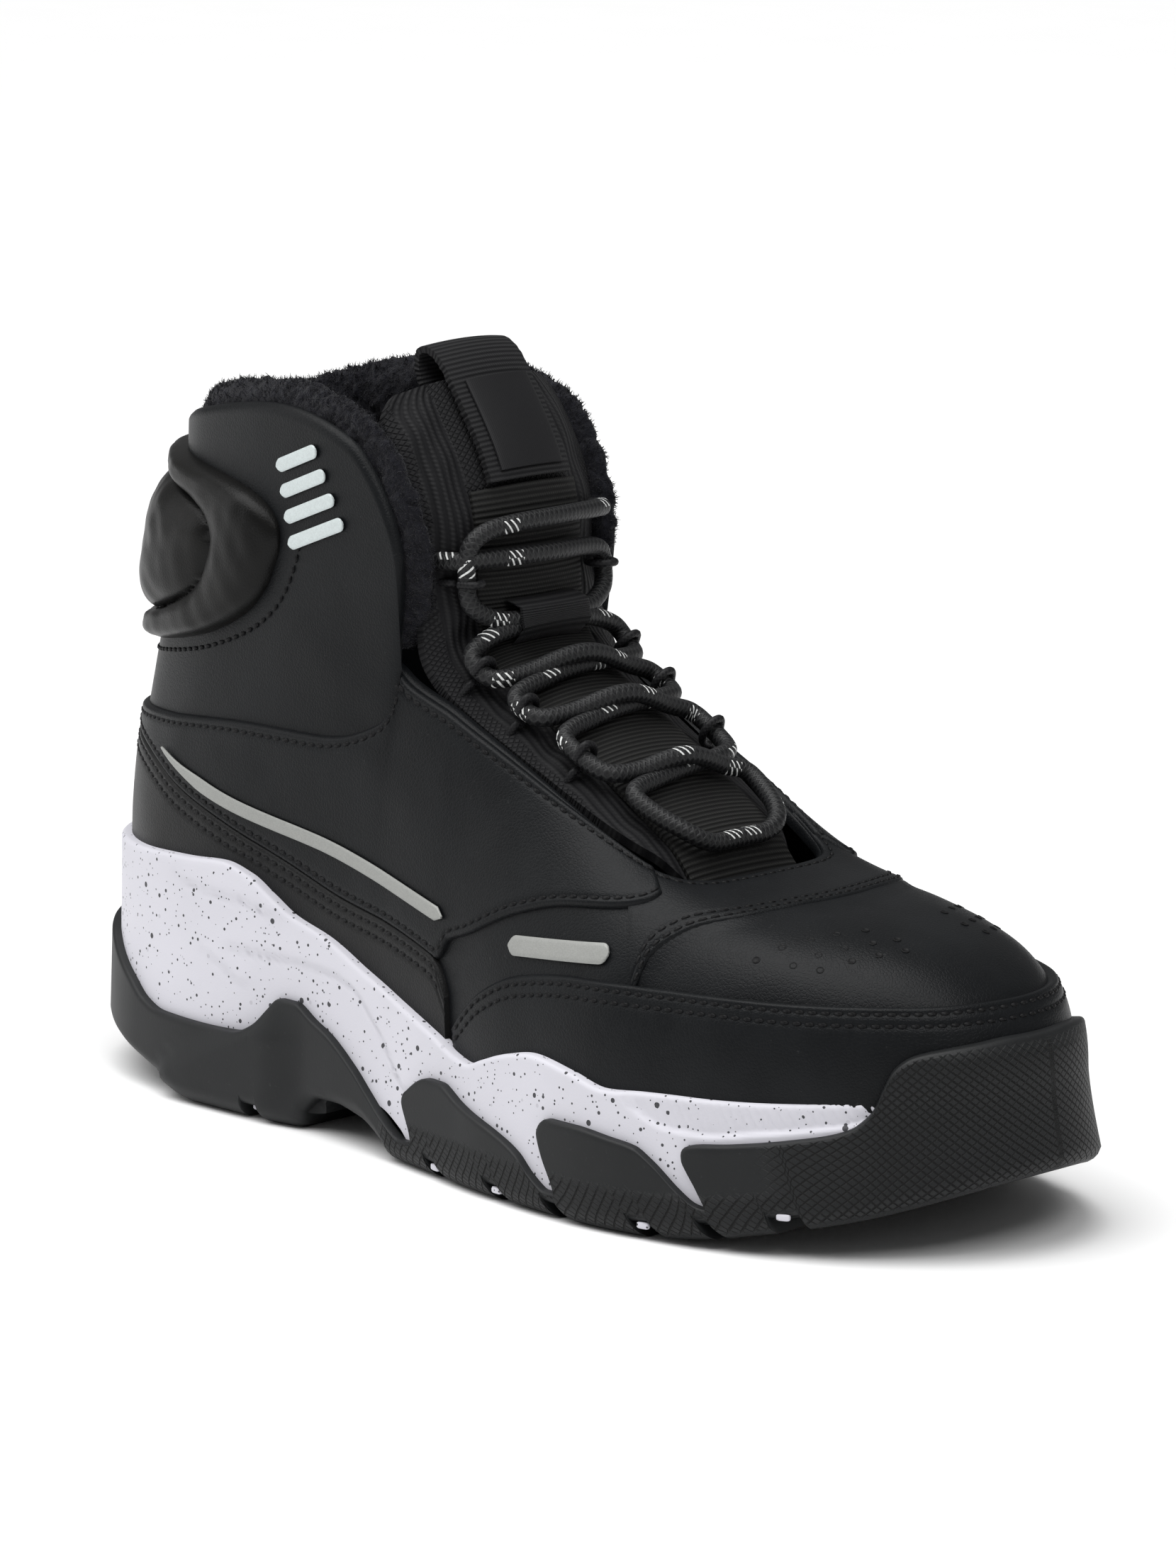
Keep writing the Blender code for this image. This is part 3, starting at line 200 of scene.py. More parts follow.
@dataclass
class Last:
    """The form the shoe is built on: feather line, rim and the sections between them, in millimetres.

    A station is an angle round the shoe from above: 0 at the toe, pi / 2 half way along the outer side, pi at the
    heel. Each section is a cubic curve from the feather line (up = 0) to the rim of the throat or collar (up = 1).
    """

    length: float = 303.0
    heel_inset: float = 10.0
    toe_inset: float = 8.6
    ball_width: float = 96.0
    collar_height: float = 174.0
    bed_heel: float = 31.0
    bed_ball: float = 18.0
    toe_spring: float = 19.0
    toe_spring_start: float = 222.0
    wall: float = 2.6
    sections: tuple[tuple[float, ...], ...] = (
        (1.000, 0.055, 0.055, 0.703, 0.010, 0.010, 0.430),
        (0.985, -0.125, 0.210, 0.703, -0.085, 0.095, 0.430),
        (0.950, -0.250, 0.315, 0.702, -0.155, 0.165, 0.431),
        (0.890, -0.375, 0.400, 0.696, -0.225, 0.225, 0.434),
        (0.800, -0.468, 0.453, 0.674, -0.278, 0.265, 0.450),
        (0.700, -0.510, 0.469, 0.620, -0.305, 0.292, 0.500),
        (0.600, -0.495, 0.440, 0.550, -0.323, 0.313, 0.560),
        (0.500, -0.448, 0.388, 0.480, -0.338, 0.330, 0.616),
        (0.400, -0.400, 0.352, 0.422, -0.350, 0.352, 0.668),
        (0.300, -0.378, 0.350, 0.424, -0.372, 0.385, 0.806),
        (0.200, -0.376, 0.359, 0.374, -0.390, 0.405, 0.965),
        (0.110, -0.339, 0.328, 0.285, -0.375, 0.385, 1.000),
        (0.045, -0.240, 0.234, 0.168, -0.300, 0.302, 0.970),
        (0.000, 0.000, 0.000, 0.080, 0.000, 0.000, 0.925),
    )
    bends: tuple[tuple[float, ...], ...] = (
        (0.90, 0.060, 0.72, 0.00, 0.11),
        (0.90, 0.060, 0.72, 0.00, 0.11),
        (0.88, 0.058, 0.70, 0.00, 0.12),
        (0.82, 0.055, 0.68, 0.00, 0.13),
        (0.66, 0.055, 0.66, 0.00, 0.18),
        (0.50, 0.062, 0.62, 0.01, 0.25),
        (0.44, 0.055, 0.52, 0.01, 0.31),
        (0.40, 0.042, 0.45, 0.01, 0.34),
        (0.37, 0.035, 0.40, 0.00, 0.35),
        (0.35, 0.035, 0.36, -0.02, 0.35),
        (0.34, 0.040, 0.35, -0.03, 0.34),
        (0.34, 0.060, 0.38, -0.03, 0.34),
        (0.34, 0.085, 0.40, -0.04, 0.34),
        (0.34, 0.110, 0.40, -0.04, 0.34),
    )
    flares: tuple[tuple[float, float], ...] = (
        (0.0, 0.075),
        (0.12, 0.080),
        (0.30, 0.070),
        (0.48, 0.074),
        (0.68, 0.082),
        (0.85, 0.082),
        (1.0, 0.060),
    )
    heights: Array = field(init=False)
    ups: Array = field(init=False)
    fan: Array = field(init=False)

    def __post_init__(self) -> None:
        """Works out a table of how far up each section reaches each height, which up_at reads."""
        self.fan = np.linspace(0, 2 * math.pi, 721)
        self.heights = np.linspace(0.0, self.collar_height + 6, 241)
        samples = np.linspace(0, 1, 161)
        reached = np.maximum.accumulate(self.point(self.fan[:, None], samples[None, :])[..., 2], axis=1)
        reached = reached + samples * 1e-6
        self.ups = np.array([np.interp(self.heights, row, samples) for row in reached])

    def share(self, station: Array) -> Array:
        """How far a station lies from the heel, as a share of the feather line's length."""
        return (1 + np.cos(station)) / 2

    def angle(self, share: Array) -> Array:
        """The station on the outer side at a share."""
        return np.arccos(np.clip(2 * np.asarray(share, float) - 1, -1, 1))

    def around(self, station: Array, outer: Array, inner: Array) -> Array:
        """A smooth closed curve round the shoe through each section's value on each side."""
        angle = self.angle(np.array(self.sections)[:, 0])
        knots = np.concatenate([angle, 2 * math.pi - angle[-2:0:-1]])
        values = np.concatenate([outer, inner[-2:0:-1]])
        knots = np.concatenate([knots[-2:] - 2 * math.pi, knots, knots[:2] + 2 * math.pi])
        values = np.concatenate([values[-2:], values, values[:2]])
        return smooth(knots, values, np.mod(station, 2 * math.pi))

    def section(self, station: Array, outer: int, inner: int | None = None) -> Array:
        """A column of the sections, and another one for the inner side if it differs."""
        rows = np.array(self.sections)
        return self.around(station, rows[:, outer], rows[:, outer if inner is None else inner])

    def bend(self, station: Array, number: int) -> Array:
        """A column of the bends, shaped to multiply vectors."""
        rows = np.array(self.bends)
        return self.around(station, rows[:, number], rows[:, number])[..., None]

    def spring(self, x: Array) -> Array:
        """How far the toe end curves up off the floor: the square of the way past its start."""
        return self.toe_spring * np.clip((x - self.toe_spring_start) / (self.length - self.toe_spring_start), 0, 1) ** 2

    def bed(self, x: Array) -> Array:
        """Height of the footbed."""
        knots, values = [0, 0.26, 0.64, 1.0], [self.bed_heel, self.bed_heel, self.bed_ball, self.bed_ball]
        return smooth(knots, values, np.clip(x / self.length, 0, 1)) + 0.6 * self.spring(x)

    def feather(self, station: Array) -> Array:
        """The closed line where the upper meets the footbed."""
        x = self.heel_inset + self.share(station) * (self.length - self.heel_inset - self.toe_inset)
        return np.stack([x, self.ball_width * self.section(station, 1, 2), self.bed(x)], -1)

    def rim(self, station: Array) -> Array:
        """The closed rim of the throat and the collar."""
        x, y = self.length * self.section(station, 3), self.ball_width * self.section(station, 4, 5)
        return np.stack([x, y, self.collar_height * self.section(station, 6)], -1)

    def outward(self, station: Array) -> Array:
        """The level direction out of the feather line."""
        along = self.feather(station + 0.02) - self.feather(station - 0.02)
        return unit(np.stack([-along[..., 1], along[..., 0], 0 * along[..., 0]], -1))

    def point(self, station: Array, up: Array) -> Array:
        """The upper's outer surface.

        A cubic from the feather line to the rim. Its first handle goes up and leans out, and its last comes from
        further out and lower down than the rim.
        """
        station, up = np.broadcast_arrays(np.asarray(station, float), np.asarray(up, float))
        foot, rim, out = self.feather(station), self.rim(station), self.outward(station)
        level, vertical = np.array([1.0, 1.0, 0.0]), np.array([0.0, 0.0, 1.0])
        height = (rim - foot)[..., 2:]
        first = foot + vertical * height * self.bend(station, 0) + out * self.ball_width * self.bend(station, 1)
        last = rim + (foot - rim) * level * self.bend(station, 2) + out * self.ball_width * self.bend(station, 3)
        last = last - vertical * height * self.bend(station, 4)
        t = up[..., None]
        return foot * (1 - t) ** 3 + 3 * first * t * (1 - t) ** 2 + 3 * last * t**2 * (1 - t) + rim * t**3

    def normal(self, station: Array, up: Array) -> Array:
        """The direction out of the upper's outer surface."""
        station, up = np.broadcast_arrays(np.asarray(station, float), np.asarray(up, float))
        round_shoe = self.point(station + 0.02, up) - self.point(station - 0.02, up)
        up_wall = self.point(station, np.clip(up + 0.02, 0, 1)) - self.point(station, np.clip(up - 0.02, 0, 1))
        return unit(np.cross(up_wall, round_shoe))

    def over(self, station: Array, up: Array, out: Array) -> Array:
        """A point that stands off the outer surface by a distance."""
        return self.point(station, up) + self.normal(station, up) * np.asarray(out, float)[..., None]

    def up_at(self, station: Array, z: Array) -> Array:
        """How far up each section the wall reaches a height, read between the four nearest places of the table."""
        station, z = np.broadcast_arrays(np.mod(np.asarray(station, float), 2 * math.pi), np.asarray(z, float))
        a = station / (2 * math.pi) * (len(self.fan) - 1)
        b = np.clip((z - self.heights[0]) / (self.heights[1] - self.heights[0]), 0, len(self.heights) - 1.001)
        i, j = np.clip(a.astype(int), 0, len(self.fan) - 2), b.astype(int)
        s, t = a - i, b - j
        low = self.ups[i, j] * (1 - t) + self.ups[i, j + 1] * t
        high = self.ups[i + 1, j] * (1 - t) + self.ups[i + 1, j + 1] * t
        return low * (1 - s) + high * s

    def outline(self, station: Array) -> Array:
        """The midsole's widest line, seen from above."""
        flare = self.ball_width * table_curve(self.flares, self.share(station))
        return self.feather(station) + self.outward(station) * flare[..., None]

    def stations_at(self, x: Array, z: Array, side: Side) -> Array:
        """The stations at which the upper's outer surface passes places seen from the side."""
        fan = np.linspace(0.25, math.pi - 0.1, 320)
        fan = fan if side is Side.OUTER else 2 * math.pi - fan
        x, z = np.broadcast_arrays(np.asarray(x, float), np.asarray(z, float))
        levels = np.linspace(z.min() - 0.1, z.max() + 0.1, 24)
        seen = self.point(fan[:, None], self.up_at(fan[:, None], levels[None, :]))[..., 0]
        rows = np.array([np.interp(-x.ravel(), -seen[:, k], fan) for k in range(len(levels))])
        at = (z.ravel() - levels[0]) / (levels[1] - levels[0])
        k = np.clip(at.astype(int), 0, len(levels) - 2)
        pick = np.arange(x.size)
        found = rows[k, pick] * (1 - (at - k)) + rows[k + 1, pick] * (at - k)
        return found.reshape(x.shape)

    def on_side(self, x: Array, z: Array, side: Side, out: Array) -> Array:
        """Points on the upper's outer surface at places seen from the side, moved out by a distance."""
        station = self.stations_at(x, z, side)
        up = self.up_at(station, np.asarray(z, float))
        return self.over(station, up, np.broadcast_to(out, up.shape))


@dataclass
class Cup:
    """The cup sole's side: the midsole's wall, its curved upper edge and the rubber tray under it."""

    last: Last
    heel_top: float = 61.0
    edge: float = 3.6
    edge_toe: float = 1.7
    floor: float = 4.2
    tuck: float = 2.4
    arch_rise: float = 9.0
    arch_rubber: float = 3.2
    heel_lift: float = 13.0
    heel_lift_start: float = 62.0
    clear: float = 0.45
    edges: tuple[tuple[float, float], ...] = (
        (0.000, 0.940),
        (0.080, 0.955),
        (0.178, 0.984),
        (0.221, 1.000),
        (0.254, 0.967),
        (0.281, 0.905),
        (0.310, 0.840),
        (0.356, 0.787),
        (0.403, 0.705),
        (0.452, 0.623),
        (0.502, 0.541),
        (0.530, 0.490),
        (0.548, 0.475),
        (0.568, 0.508),
        (0.597, 0.557),
        (0.635, 0.592),
        (0.680, 0.562),
        (0.713, 0.528),
        (0.749, 0.541),
        (0.830, 0.557),
        (0.924, 0.590),
        (1.000, 0.640),
    )
    arch: tuple[tuple[float, float], ...] = (
        (0.000, 0.00),
        (0.335, 0.00),
        (0.352, 0.55),
        (0.385, 1.00),
        (0.410, 0.95),
        (0.440, 0.55),
        (0.468, 0.00),
        (1.000, 0.00),
    )

    def top(self, x: Array) -> Array:
        """Height of the midsole's upper edge."""
        return self.heel_top * table_curve(self.edges, np.clip(x / self.last.length, 0, 1))

    def lift(self, x: Array) -> Array:
        """How far the back of the heel is bevelled up off the floor."""
        behind = np.clip((self.heel_lift_start - x) / self.heel_lift_start, 0, 1)
        return self.heel_lift * (1 - (1 - behind) ** 1.6)

    def arched(self, x: Array) -> Array:
        """How far the sole rises at the arch."""
        return self.arch_rise * table_curve(self.arch, np.clip(x / self.last.length, 0, 1))

    def underside(self, x: Array) -> Array:
        """Height of the sole's underside, without the tread's grooves."""
        return self.last.spring(x) + self.lift(x) + self.arched(x)

    def tray(self, x: Array) -> Array:
        """Height of the tray's floor, on which the midsole lies."""
        return self.last.spring(x) + 0.8 * self.lift(x) + np.maximum(self.floor, self.arched(x) + self.arch_rubber)

    def low(self, x: Array) -> Array:
        """Height of the midsole's lower face, clear of the slopes of the arch."""
        steps = (-8.0, -4.0, 0.0, 4.0, 8.0)
        return np.max([self.tray(np.clip(x + step, 0, self.last.length)) for step in steps], axis=0) + 0.3

    def wall(self, station: Array, z: Array) -> Array:
        """The cup's inner face, which clears the upper."""
        up = self.last.up_at(station, z)
        return self.last.over(station, up, np.full(up.shape, self.clear))

    def point(self, station: Array, z: Array, out: Array | float = 0.0) -> Array:
        """The midsole's side at a height, and its continuation up the upper, moved out by a distance.

        The plan runs from the widest line at the tray's floor (level = 0) to the rim (level = 1), as the rim plus
        their difference times (1 - level) to the power 1.35.
        """
        station, z, out = np.broadcast_arrays(*(np.asarray(a, float) for a in (station, z, out)))
        wide, way = self.last.outline(station), self.last.outward(station)
        thick = [self.edge, self.edge, self.edge_toe, self.edge_toe]
        edge = smooth([0.0, 0.86, 0.95, 1.0], thick, self.last.share(station))
        low, top = self.tray(wide[..., 0]), self.top(wide[..., 0])
        rim = self.wall(station, np.maximum(z, top)) + way * edge[..., None]
        level = np.clip((z - low) / (top - low), 0, 1)
        swell = ((1 - level) ** 1.35)[..., None]
        tuck = self.tuck * np.clip((low - z) / self.floor, 0, 1.2) ** 1.5
        plan = rim * (1 - swell) + wide * swell + way * (out - tuck)[..., None]
        return np.concatenate([plan[..., :2], z[..., None]], -1)


@dataclass
class Workshop:
    """Puts surfaces into Blender: it holds the frame, the shift to the model's frame, the last and the cup."""

    frame: dict
    last: Last
    cup: Cup
    shift: Array

    def mesh(self, name: str, points: Array, faces: list, place: Array | None = None) -> bpy.types.Object:
        """Makes one mesh object from points in millimetres, its faces turned outwards.

        Args:
            name: The piece's name.
            points: All points, in the shoe's frame.
            faces: Lists of point numbers.
            place: A pattern coordinate for each point, kept as the attribute "place".

        Returns:
            The new object, at the origin.
        """
        data = bpy.data.meshes.new(name)
        spot = np.asarray(points, float).reshape(-1, 3) * MM - self.shift
        data.from_pydata(spot.tolist(), [], faces)
        if place is not None:
            layer = data.attributes.new("place", "FLOAT_VECTOR", "POINT")
            layer.data.foreach_set("vector", np.ascontiguousarray(place, dtype=np.float32).ravel())
        shell = bmesh.new()
        shell.from_mesh(data)
        bmesh.ops.remove_doubles(shell, verts=shell.verts, dist=1e-7)
        bmesh.ops.recalc_face_normals(shell, faces=shell.faces)
        shell.to_mesh(data)
        shell.free()
        data.shade_smooth()
        data.set_sharp_from_angle(angle=math.radians(52))
        piece = bpy.data.objects.new(name, data)
        bpy.context.scene.collection.objects.link(piece)
        return piece

    def slab(
        self, name: str, front: Array, back: Array, wrap: bool = False, place: Array | None = None
    ) -> bpy.types.Object:
        """Makes a closed solid between two grids of points.

        Args:
            name: The piece's name.
            front: The outer grid, rows by columns by three.
            back: The inner grid, of the same shape.
            wrap: Whether the last row joins the first.
            place: A pattern coordinate for each front point.

        Returns:
            The new object.
        """
        rows, across = front.shape[:2]
        number = np.arange(rows * across).reshape(rows, across)
        behind = number + rows * across
        ahead = np.roll(number, -1, axis=0) if wrap else number[1:]
        ahead_behind = np.roll(behind, -1, axis=0) if wrap else behind[1:]
        here, here_behind = (number, behind) if wrap else (number[:-1], behind[:-1])
        outer = [here[:, :-1], ahead[:, :-1], ahead[:, 1:], here[:, 1:]]
        inner = [here_behind[:, :-1], here_behind[:, 1:], ahead_behind[:, 1:], ahead_behind[:, :-1]]
        quads = [np.stack(outer, -1).reshape(-1, 4), np.stack(inner, -1).reshape(-1, 4)]
        for column in (0, -1):
            strip = [here[:, column], ahead[:, column], ahead_behind[:, column], here_behind[:, column]]
            quads.append(np.stack(strip, -1))
        if not wrap:
            for row in (0, -1):
                strip = [number[row, :-1], number[row, 1:], behind[row, 1:], behind[row, :-1]]
                quads.append(np.stack(strip, -1))
        points = np.concatenate([front.reshape(-1, 3), back.reshape(-1, 3)])
        places = None if place is None else np.concatenate([place.reshape(-1, 3)] * 2)
        return self.mesh(name, points, np.concatenate(quads).tolist(), places)

    def stack(self, name: str, loops: Array, place: Array | None = None) -> bpy.types.Object:
        """Makes a closed solid from loops round the shoe, the first and the last closed from side to side.

        Args:
            name: The piece's name.
            loops: Loops by points by three. Each loop runs from the toe round the outer side and back.
            place: A pattern coordinate for each point.

        Returns:
            The new object.
        """
        count, around = loops.shape[:2]
        number = np.arange(count * around).reshape(count, around)
        after = np.roll(number, -1, axis=1)
        quads = [np.stack([number[:-1], after[:-1], after[1:], number[1:]], -1).reshape(-1, 4)]
        half = around // 2
        step = np.arange(1, half - 1)
        ends = []
        for base in (0, (count - 1) * around):
            quads.append(base + np.stack([step, step + 1, around - step - 1, around - step], -1))
            ends.append([base, base + 1, base + around - 1])
            ends.append([base + half - 1, base + half, base + half + 1])
        return self.mesh(name, loops.reshape(-1, 3), np.concatenate(quads).tolist() + ends, place)

    def tube(self, name: str, paths: list, radius: float, sides: int, upright: Array) -> bpy.types.Object:
        """Makes one piece of round bars along paths, closed at both ends.

        Args:
            name: The piece's name.
            paths: The middle line's points of each bar.
            radius: The bars' radius.
            sides: Corners round a bar.
            upright: The direction from which turns are counted.

        Returns:
            The new object. Its "place" is the run, and the cosine and sine of the turn.
        """
        rings, places, faces, base = [], [], [], 0
        turn = np.linspace(0, 2 * math.pi, sides, endpoint=False)[None, :]
        for path in paths:
            along = unit(np.gradient(path, axis=0))
            side = unit(np.cross(along, np.broadcast_to(upright, path.shape)))
            over = np.cross(side, along)
            swing = side[:, None] * np.cos(turn)[..., None] + over[:, None] * np.sin(turn)[..., None]
            rings.append((path[:, None] + radius * swing).reshape(-1, 3))
            spot = np.broadcast_arrays(run_of(path)[:, None], np.cos(turn), np.sin(turn))
            places.append(np.stack(spot, -1).reshape(-1, 3))
            number = base + np.arange(len(path) * sides).reshape(len(path), sides)
            after = np.roll(number, -1, axis=1)
            faces += np.stack([number[:-1], after[:-1], after[1:], number[1:]], -1).reshape(-1, 4).tolist()
            faces += [number[0].tolist(), number[-1].tolist()]
            base += number.size
        return self.mesh(name, np.concatenate(rings), faces, np.concatenate(places))


class Val:
    """A number or vector in a material's node tree, on which the usual operators add Math nodes."""

    def __init__(self, wiring: Wiring, socket: bpy.types.NodeSocket) -> None:
        self.wiring = wiring
        self.socket = socket

    def _with(self, kind: str, *others: Val | float) -> Val:
        return self.wiring.math(kind, self, *others)

    def __add__(self, other: Val | float) -> Val:
        return self._with("ADD", other)

    def __sub__(self, other: Val | float) -> Val:
        return self._with("SUBTRACT", other)

    def __mul__(self, other: Val | float) -> Val:
        return self._with("MULTIPLY", other)

    def __truediv__(self, other: Val | float) -> Val:
        return self._with("DIVIDE", other)

    def __pow__(self, other: Val | float) -> Val:
        return self._with("POWER", other)

    def __rsub__(self, other: float) -> Val:
        return self.wiring.math("SUBTRACT", other, self)

    def __rtruediv__(self, other: float) -> Val:
        return self.wiring.math("DIVIDE", other, self)

    __radd__ = __add__
    __rmul__ = __mul__

    def __neg__(self) -> Val:
        return self._with("MULTIPLY", -1.0)

    def __abs__(self) -> Val:
        return self._with("ABSOLUTE")

    def __mod__(self, other: float) -> Val:
        return self._with("FLOORED_MODULO", other)

    def over(self, limit: Val | float) -> Val:
        """1 where the value is over the limit, and 0 elsewhere."""
        return self._with("GREATER_THAN", limit)

    def under(self, limit: Val | float) -> Val:
        """1 where the value is under the limit, and 0 elsewhere."""
        return self._with("LESS_THAN", limit)

    def sine(self) -> Val:
        """The sine of the value."""
        return self._with("SINE")

    def floor(self) -> Val:
        """The whole number under the value."""
        return self._with("FLOOR")

    def top(self, other: Val | float) -> Val:
        """The larger of two values."""
        return self._with("MAXIMUM", other)

    def least(self, other: Val | float) -> Val:
        """The smaller of two values."""
        return self._with("MINIMUM", other)

    def span(self, low: float, high: float, start: float = 0.0, end: float = 1.0) -> Val:
        """The value mapped smoothly from low..high to start..end, and held at both."""
        inputs = {"Value": self, "From Min": low, "From Max": high, "To Min": start, "To Max": end}
        node = self.wiring.add("ShaderNodeMapRange", {"interpolation_type": "SMOOTHSTEP"}, inputs)
        return Val(self.wiring, node.outputs["Result"])


class Wiring:
    """A new material, its Principled shader and the nodes that feed it."""

    def __init__(self, name: str) -> None:
        self.material = bpy.data.materials.new(name)
        self.material.use_nodes = True
        self.tree = self.material.node_tree
        self.shader = self.tree.nodes["Principled BSDF"]

    def add(self, kind: str, settings: dict | None = None, inputs: dict | None = None) -> bpy.types.Node:
        """Adds a node.

        Args:
            kind: The node's type.
            settings: Its own settings.
            inputs: A value or a Val for each named or numbered input.

        Returns:
            The node.
        """
        node = self.tree.nodes.new(kind)
        for key, value in (settings or {}).items():
            setattr(node, key, value)
        for key, value in (inputs or {}).items():
            self.plug(node.inputs[key], value)
        return node

    def plug(self, socket: bpy.types.NodeSocket, value: Val | float | tuple) -> None:
        """Links a Val to a socket, or sets its constant."""
        if isinstance(value, Val):
            self.tree.links.new(value.socket, socket)
        else:
            socket.default_value = value

    def math(self, operation: str, *values: Val | float) -> Val:
        """A Math node on one to three values."""
        node = self.add("ShaderNodeMath", {"operation": operation}, dict(enumerate(values)))
        return Val(self, node.outputs[0])

    def place(self) -> Val:
        """The point in the model's frame, in millimetres."""
        object_place = self.add("ShaderNodeTexCoord").outputs["Object"]
        node = self.add("ShaderNodeVectorMath", {"operation": "SCALE"}, {0: Val(self, object_place), "Scale": 1 / MM})
        return Val(self, node.outputs["Vector"])

    def own(self, name: str = "place") -> Val:
        """The piece's own pattern coordinate."""
        node = self.add("ShaderNodeAttribute", {"attribute_name": name, "attribute_type": "GEOMETRY"})
        return Val(self, node.outputs["Vector"])

    def split(self, vector: Val) -> tuple[Val, Val, Val]:
        """A vector's three parts."""
        node = self.add("ShaderNodeSeparateXYZ", None, {0: vector})
        return tuple(Val(self, node.outputs[k]) for k in range(3))

    def join(self, x: Val | float, y: Val | float, z: Val | float = 0.0) -> Val:
        """A vector from three parts."""
        return Val(self, self.add("ShaderNodeCombineXYZ", None, {0: x, 1: y, 2: z}).outputs[0])

    def stretch(self, vector: Val, factors: tuple[float, float, float]) -> Val:
        """A vector with its parts multiplied."""
        node = self.add("ShaderNodeVectorMath", {"operation": "MULTIPLY"}, {0: vector, 1: factors})
        return Val(self, node.outputs["Vector"])

    def noise(self, vector: Val, size: float, detail: float = 2.0, rough: float = 0.5) -> Val:
        """Smooth noise from 0 to 1 whose waves are about a size apart, in the vector's units."""
        inputs = {"Vector": vector, "Scale": 1 / size, "Detail": detail, "Roughness": rough}
        return Val(self, self.add("ShaderNodeTexNoise", None, inputs).outputs["Fac"])

    def cells(self, vector: Val, size: float, feature: str = "F1", random: float = 1.0) -> tuple[Val, Val]:
        """Scattered cells: the distance from each cell's point, in cells, and a grey of the cell's own."""
        settings = {"feature": feature, "voronoi_dimensions": "3D"}
        node = self.add("ShaderNodeTexVoronoi", settings, {"Vector": vector, "Scale": 1 / size, "Randomness": random})
        distance = Val(self, node.outputs["Distance"])
        if feature == "DISTANCE_TO_EDGE":
            return distance, distance
        grey = self.add("ShaderNodeSeparateXYZ", None, {0: Val(self, node.outputs["Color"])})
        return distance, Val(self, grey.outputs[0])

    def blend(self, share: Val | float, first: Val | tuple, second: Val | tuple) -> Val:
        """A colour between two, by a share."""
        node = self.add("ShaderNodeMix", {"data_type": "RGBA"})
        self.plug(node.inputs[0], share)
        for slot, colour in ((6, first), (7, second)):
            self.plug(node.inputs[slot], colour if isinstance(colour, Val) else (*colour, 1.0))
        return Val(self, node.outputs[2])

    def bump(self, height: Val, depth: float, under: Val | None = None) -> Val:
        """A normal bent by a height from 0 to 1 of a depth in millimetres."""
        inputs = {"Height": height, "Distance": depth * MM, "Strength": 1.0}
        if under is not None:
            inputs["Normal"] = under
        return Val(self, self.add("ShaderNodeBump", None, inputs).outputs["Normal"])

    def finish(self, constants: dict, **varying: Val) -> bpy.types.Material:
        """Sets the shader's constants and links what varies.

        Args:
            constants: Values for the shader's own inputs.
            varying: A Val for each of base, roughness, metallic, coat and normal.

        Returns:
            The material.
        """
        names = {"base": "Base Color", "roughness": "Roughness", "metallic": "Metallic", "coat": "Coat Weight"}
        names["normal"] = "Normal"
        for key, value in constants.items():
            self.shader.inputs[key].default_value = value
        for key, value in varying.items():
            self.plug(self.shader.inputs[names[key]], value)
        return self.material


@dataclass(frozen=True)
class Leather:
    """Coated leather: fine pebble grain, slow changes of gloss and faint handling marks."""

    name: str
    colour: tuple[float, float, float]
    lighter: tuple[float, float, float]
    roughness: float = 0.42
    grain: float = 0.05
    grain_size: float = 0.9

    def build(self) -> bpy.types.Material:
        """Makes the material."""
        w = Wiring(self.name)
        at = w.place()
        edge, _ = w.cells(at, self.grain_size, "DISTANCE_TO_EDGE")
        pores = w.noise(at, self.grain_size / 2.6, 3.0, 0.6)
        slow = w.noise(at, 24.0, 3.0, 0.55)
        dust = w.noise(at, 1.6, 2.0, 0.7).span(0.70, 0.78)
        tone = w.blend(slow.span(0.35, 0.70), self.colour, self.lighter)
        tone = w.blend(dust * 0.04, tone, (0.30, 0.30, 0.30))
        gloss = self.roughness + (slow - 0.5) * 0.12 + (pores - 0.5) * 0.10
        normal = w.bump(edge.span(0.0, 0.22) * 0.6 + pores * 0.4, self.grain)
        return w.finish({"Specular IOR Level": 0.14, "Coat Roughness": 0.42}, base=tone, roughness=gloss, normal=normal)


@dataclass(frozen=True)
class Foam:
    """Moulded foam: white with a cool tint, black and grey speckles and a fine skin."""

    name: str = "speckled_foam"
    colour: tuple[float, float, float] = (0.625, 0.618, 0.670)

    def build(self) -> bpy.types.Material:
        """Makes the material. A speckle is a place near a cell's point, in the few cells whose grey is high."""
        w = Wiring(self.name)
        at = w.place()
        bent = w.noise(at, 0.9, 2.0) * 0.5
        share: Val | None = None
        for size, radius, kept in ((2.0, 0.17, 0.52), (1.35, 0.16, 0.50), (3.6, 0.17, 0.58)):
            distance, grey = w.cells(w.stretch(at, (1.0, 1.0, 1.0)), size)
            reach = radius * 0.45 + (grey - kept) * radius * 1.9
            dot = (distance + (bent - 0.25) * 0.10).under(reach) * grey.over(kept)
            share = dot if share is None else share.top(dot)
        faint, tone = w.cells(at, 5.3)
        grey_dots = faint.under(0.10) * tone.under(0.30)
        slow = w.noise(at, 30.0, 2.0)
        base = w.blend(slow.span(0.3, 0.7), self.colour, tuple(c * 0.965 for c in self.colour))
        base = w.blend(grey_dots * 0.35, base, (0.32, 0.31, 0.35))
        base = w.blend(share * 0.95, base, (0.018, 0.018, 0.022))
        skin = w.noise(at, 0.55, 3.0, 0.6)
        roughness = 0.56 + (slow - 0.5) * 0.10
        normal = w.bump(skin, 0.035)
        constants = {"Specular IOR Level": 0.35}
        return w.finish(constants, base=base, roughness=roughness, normal=normal)


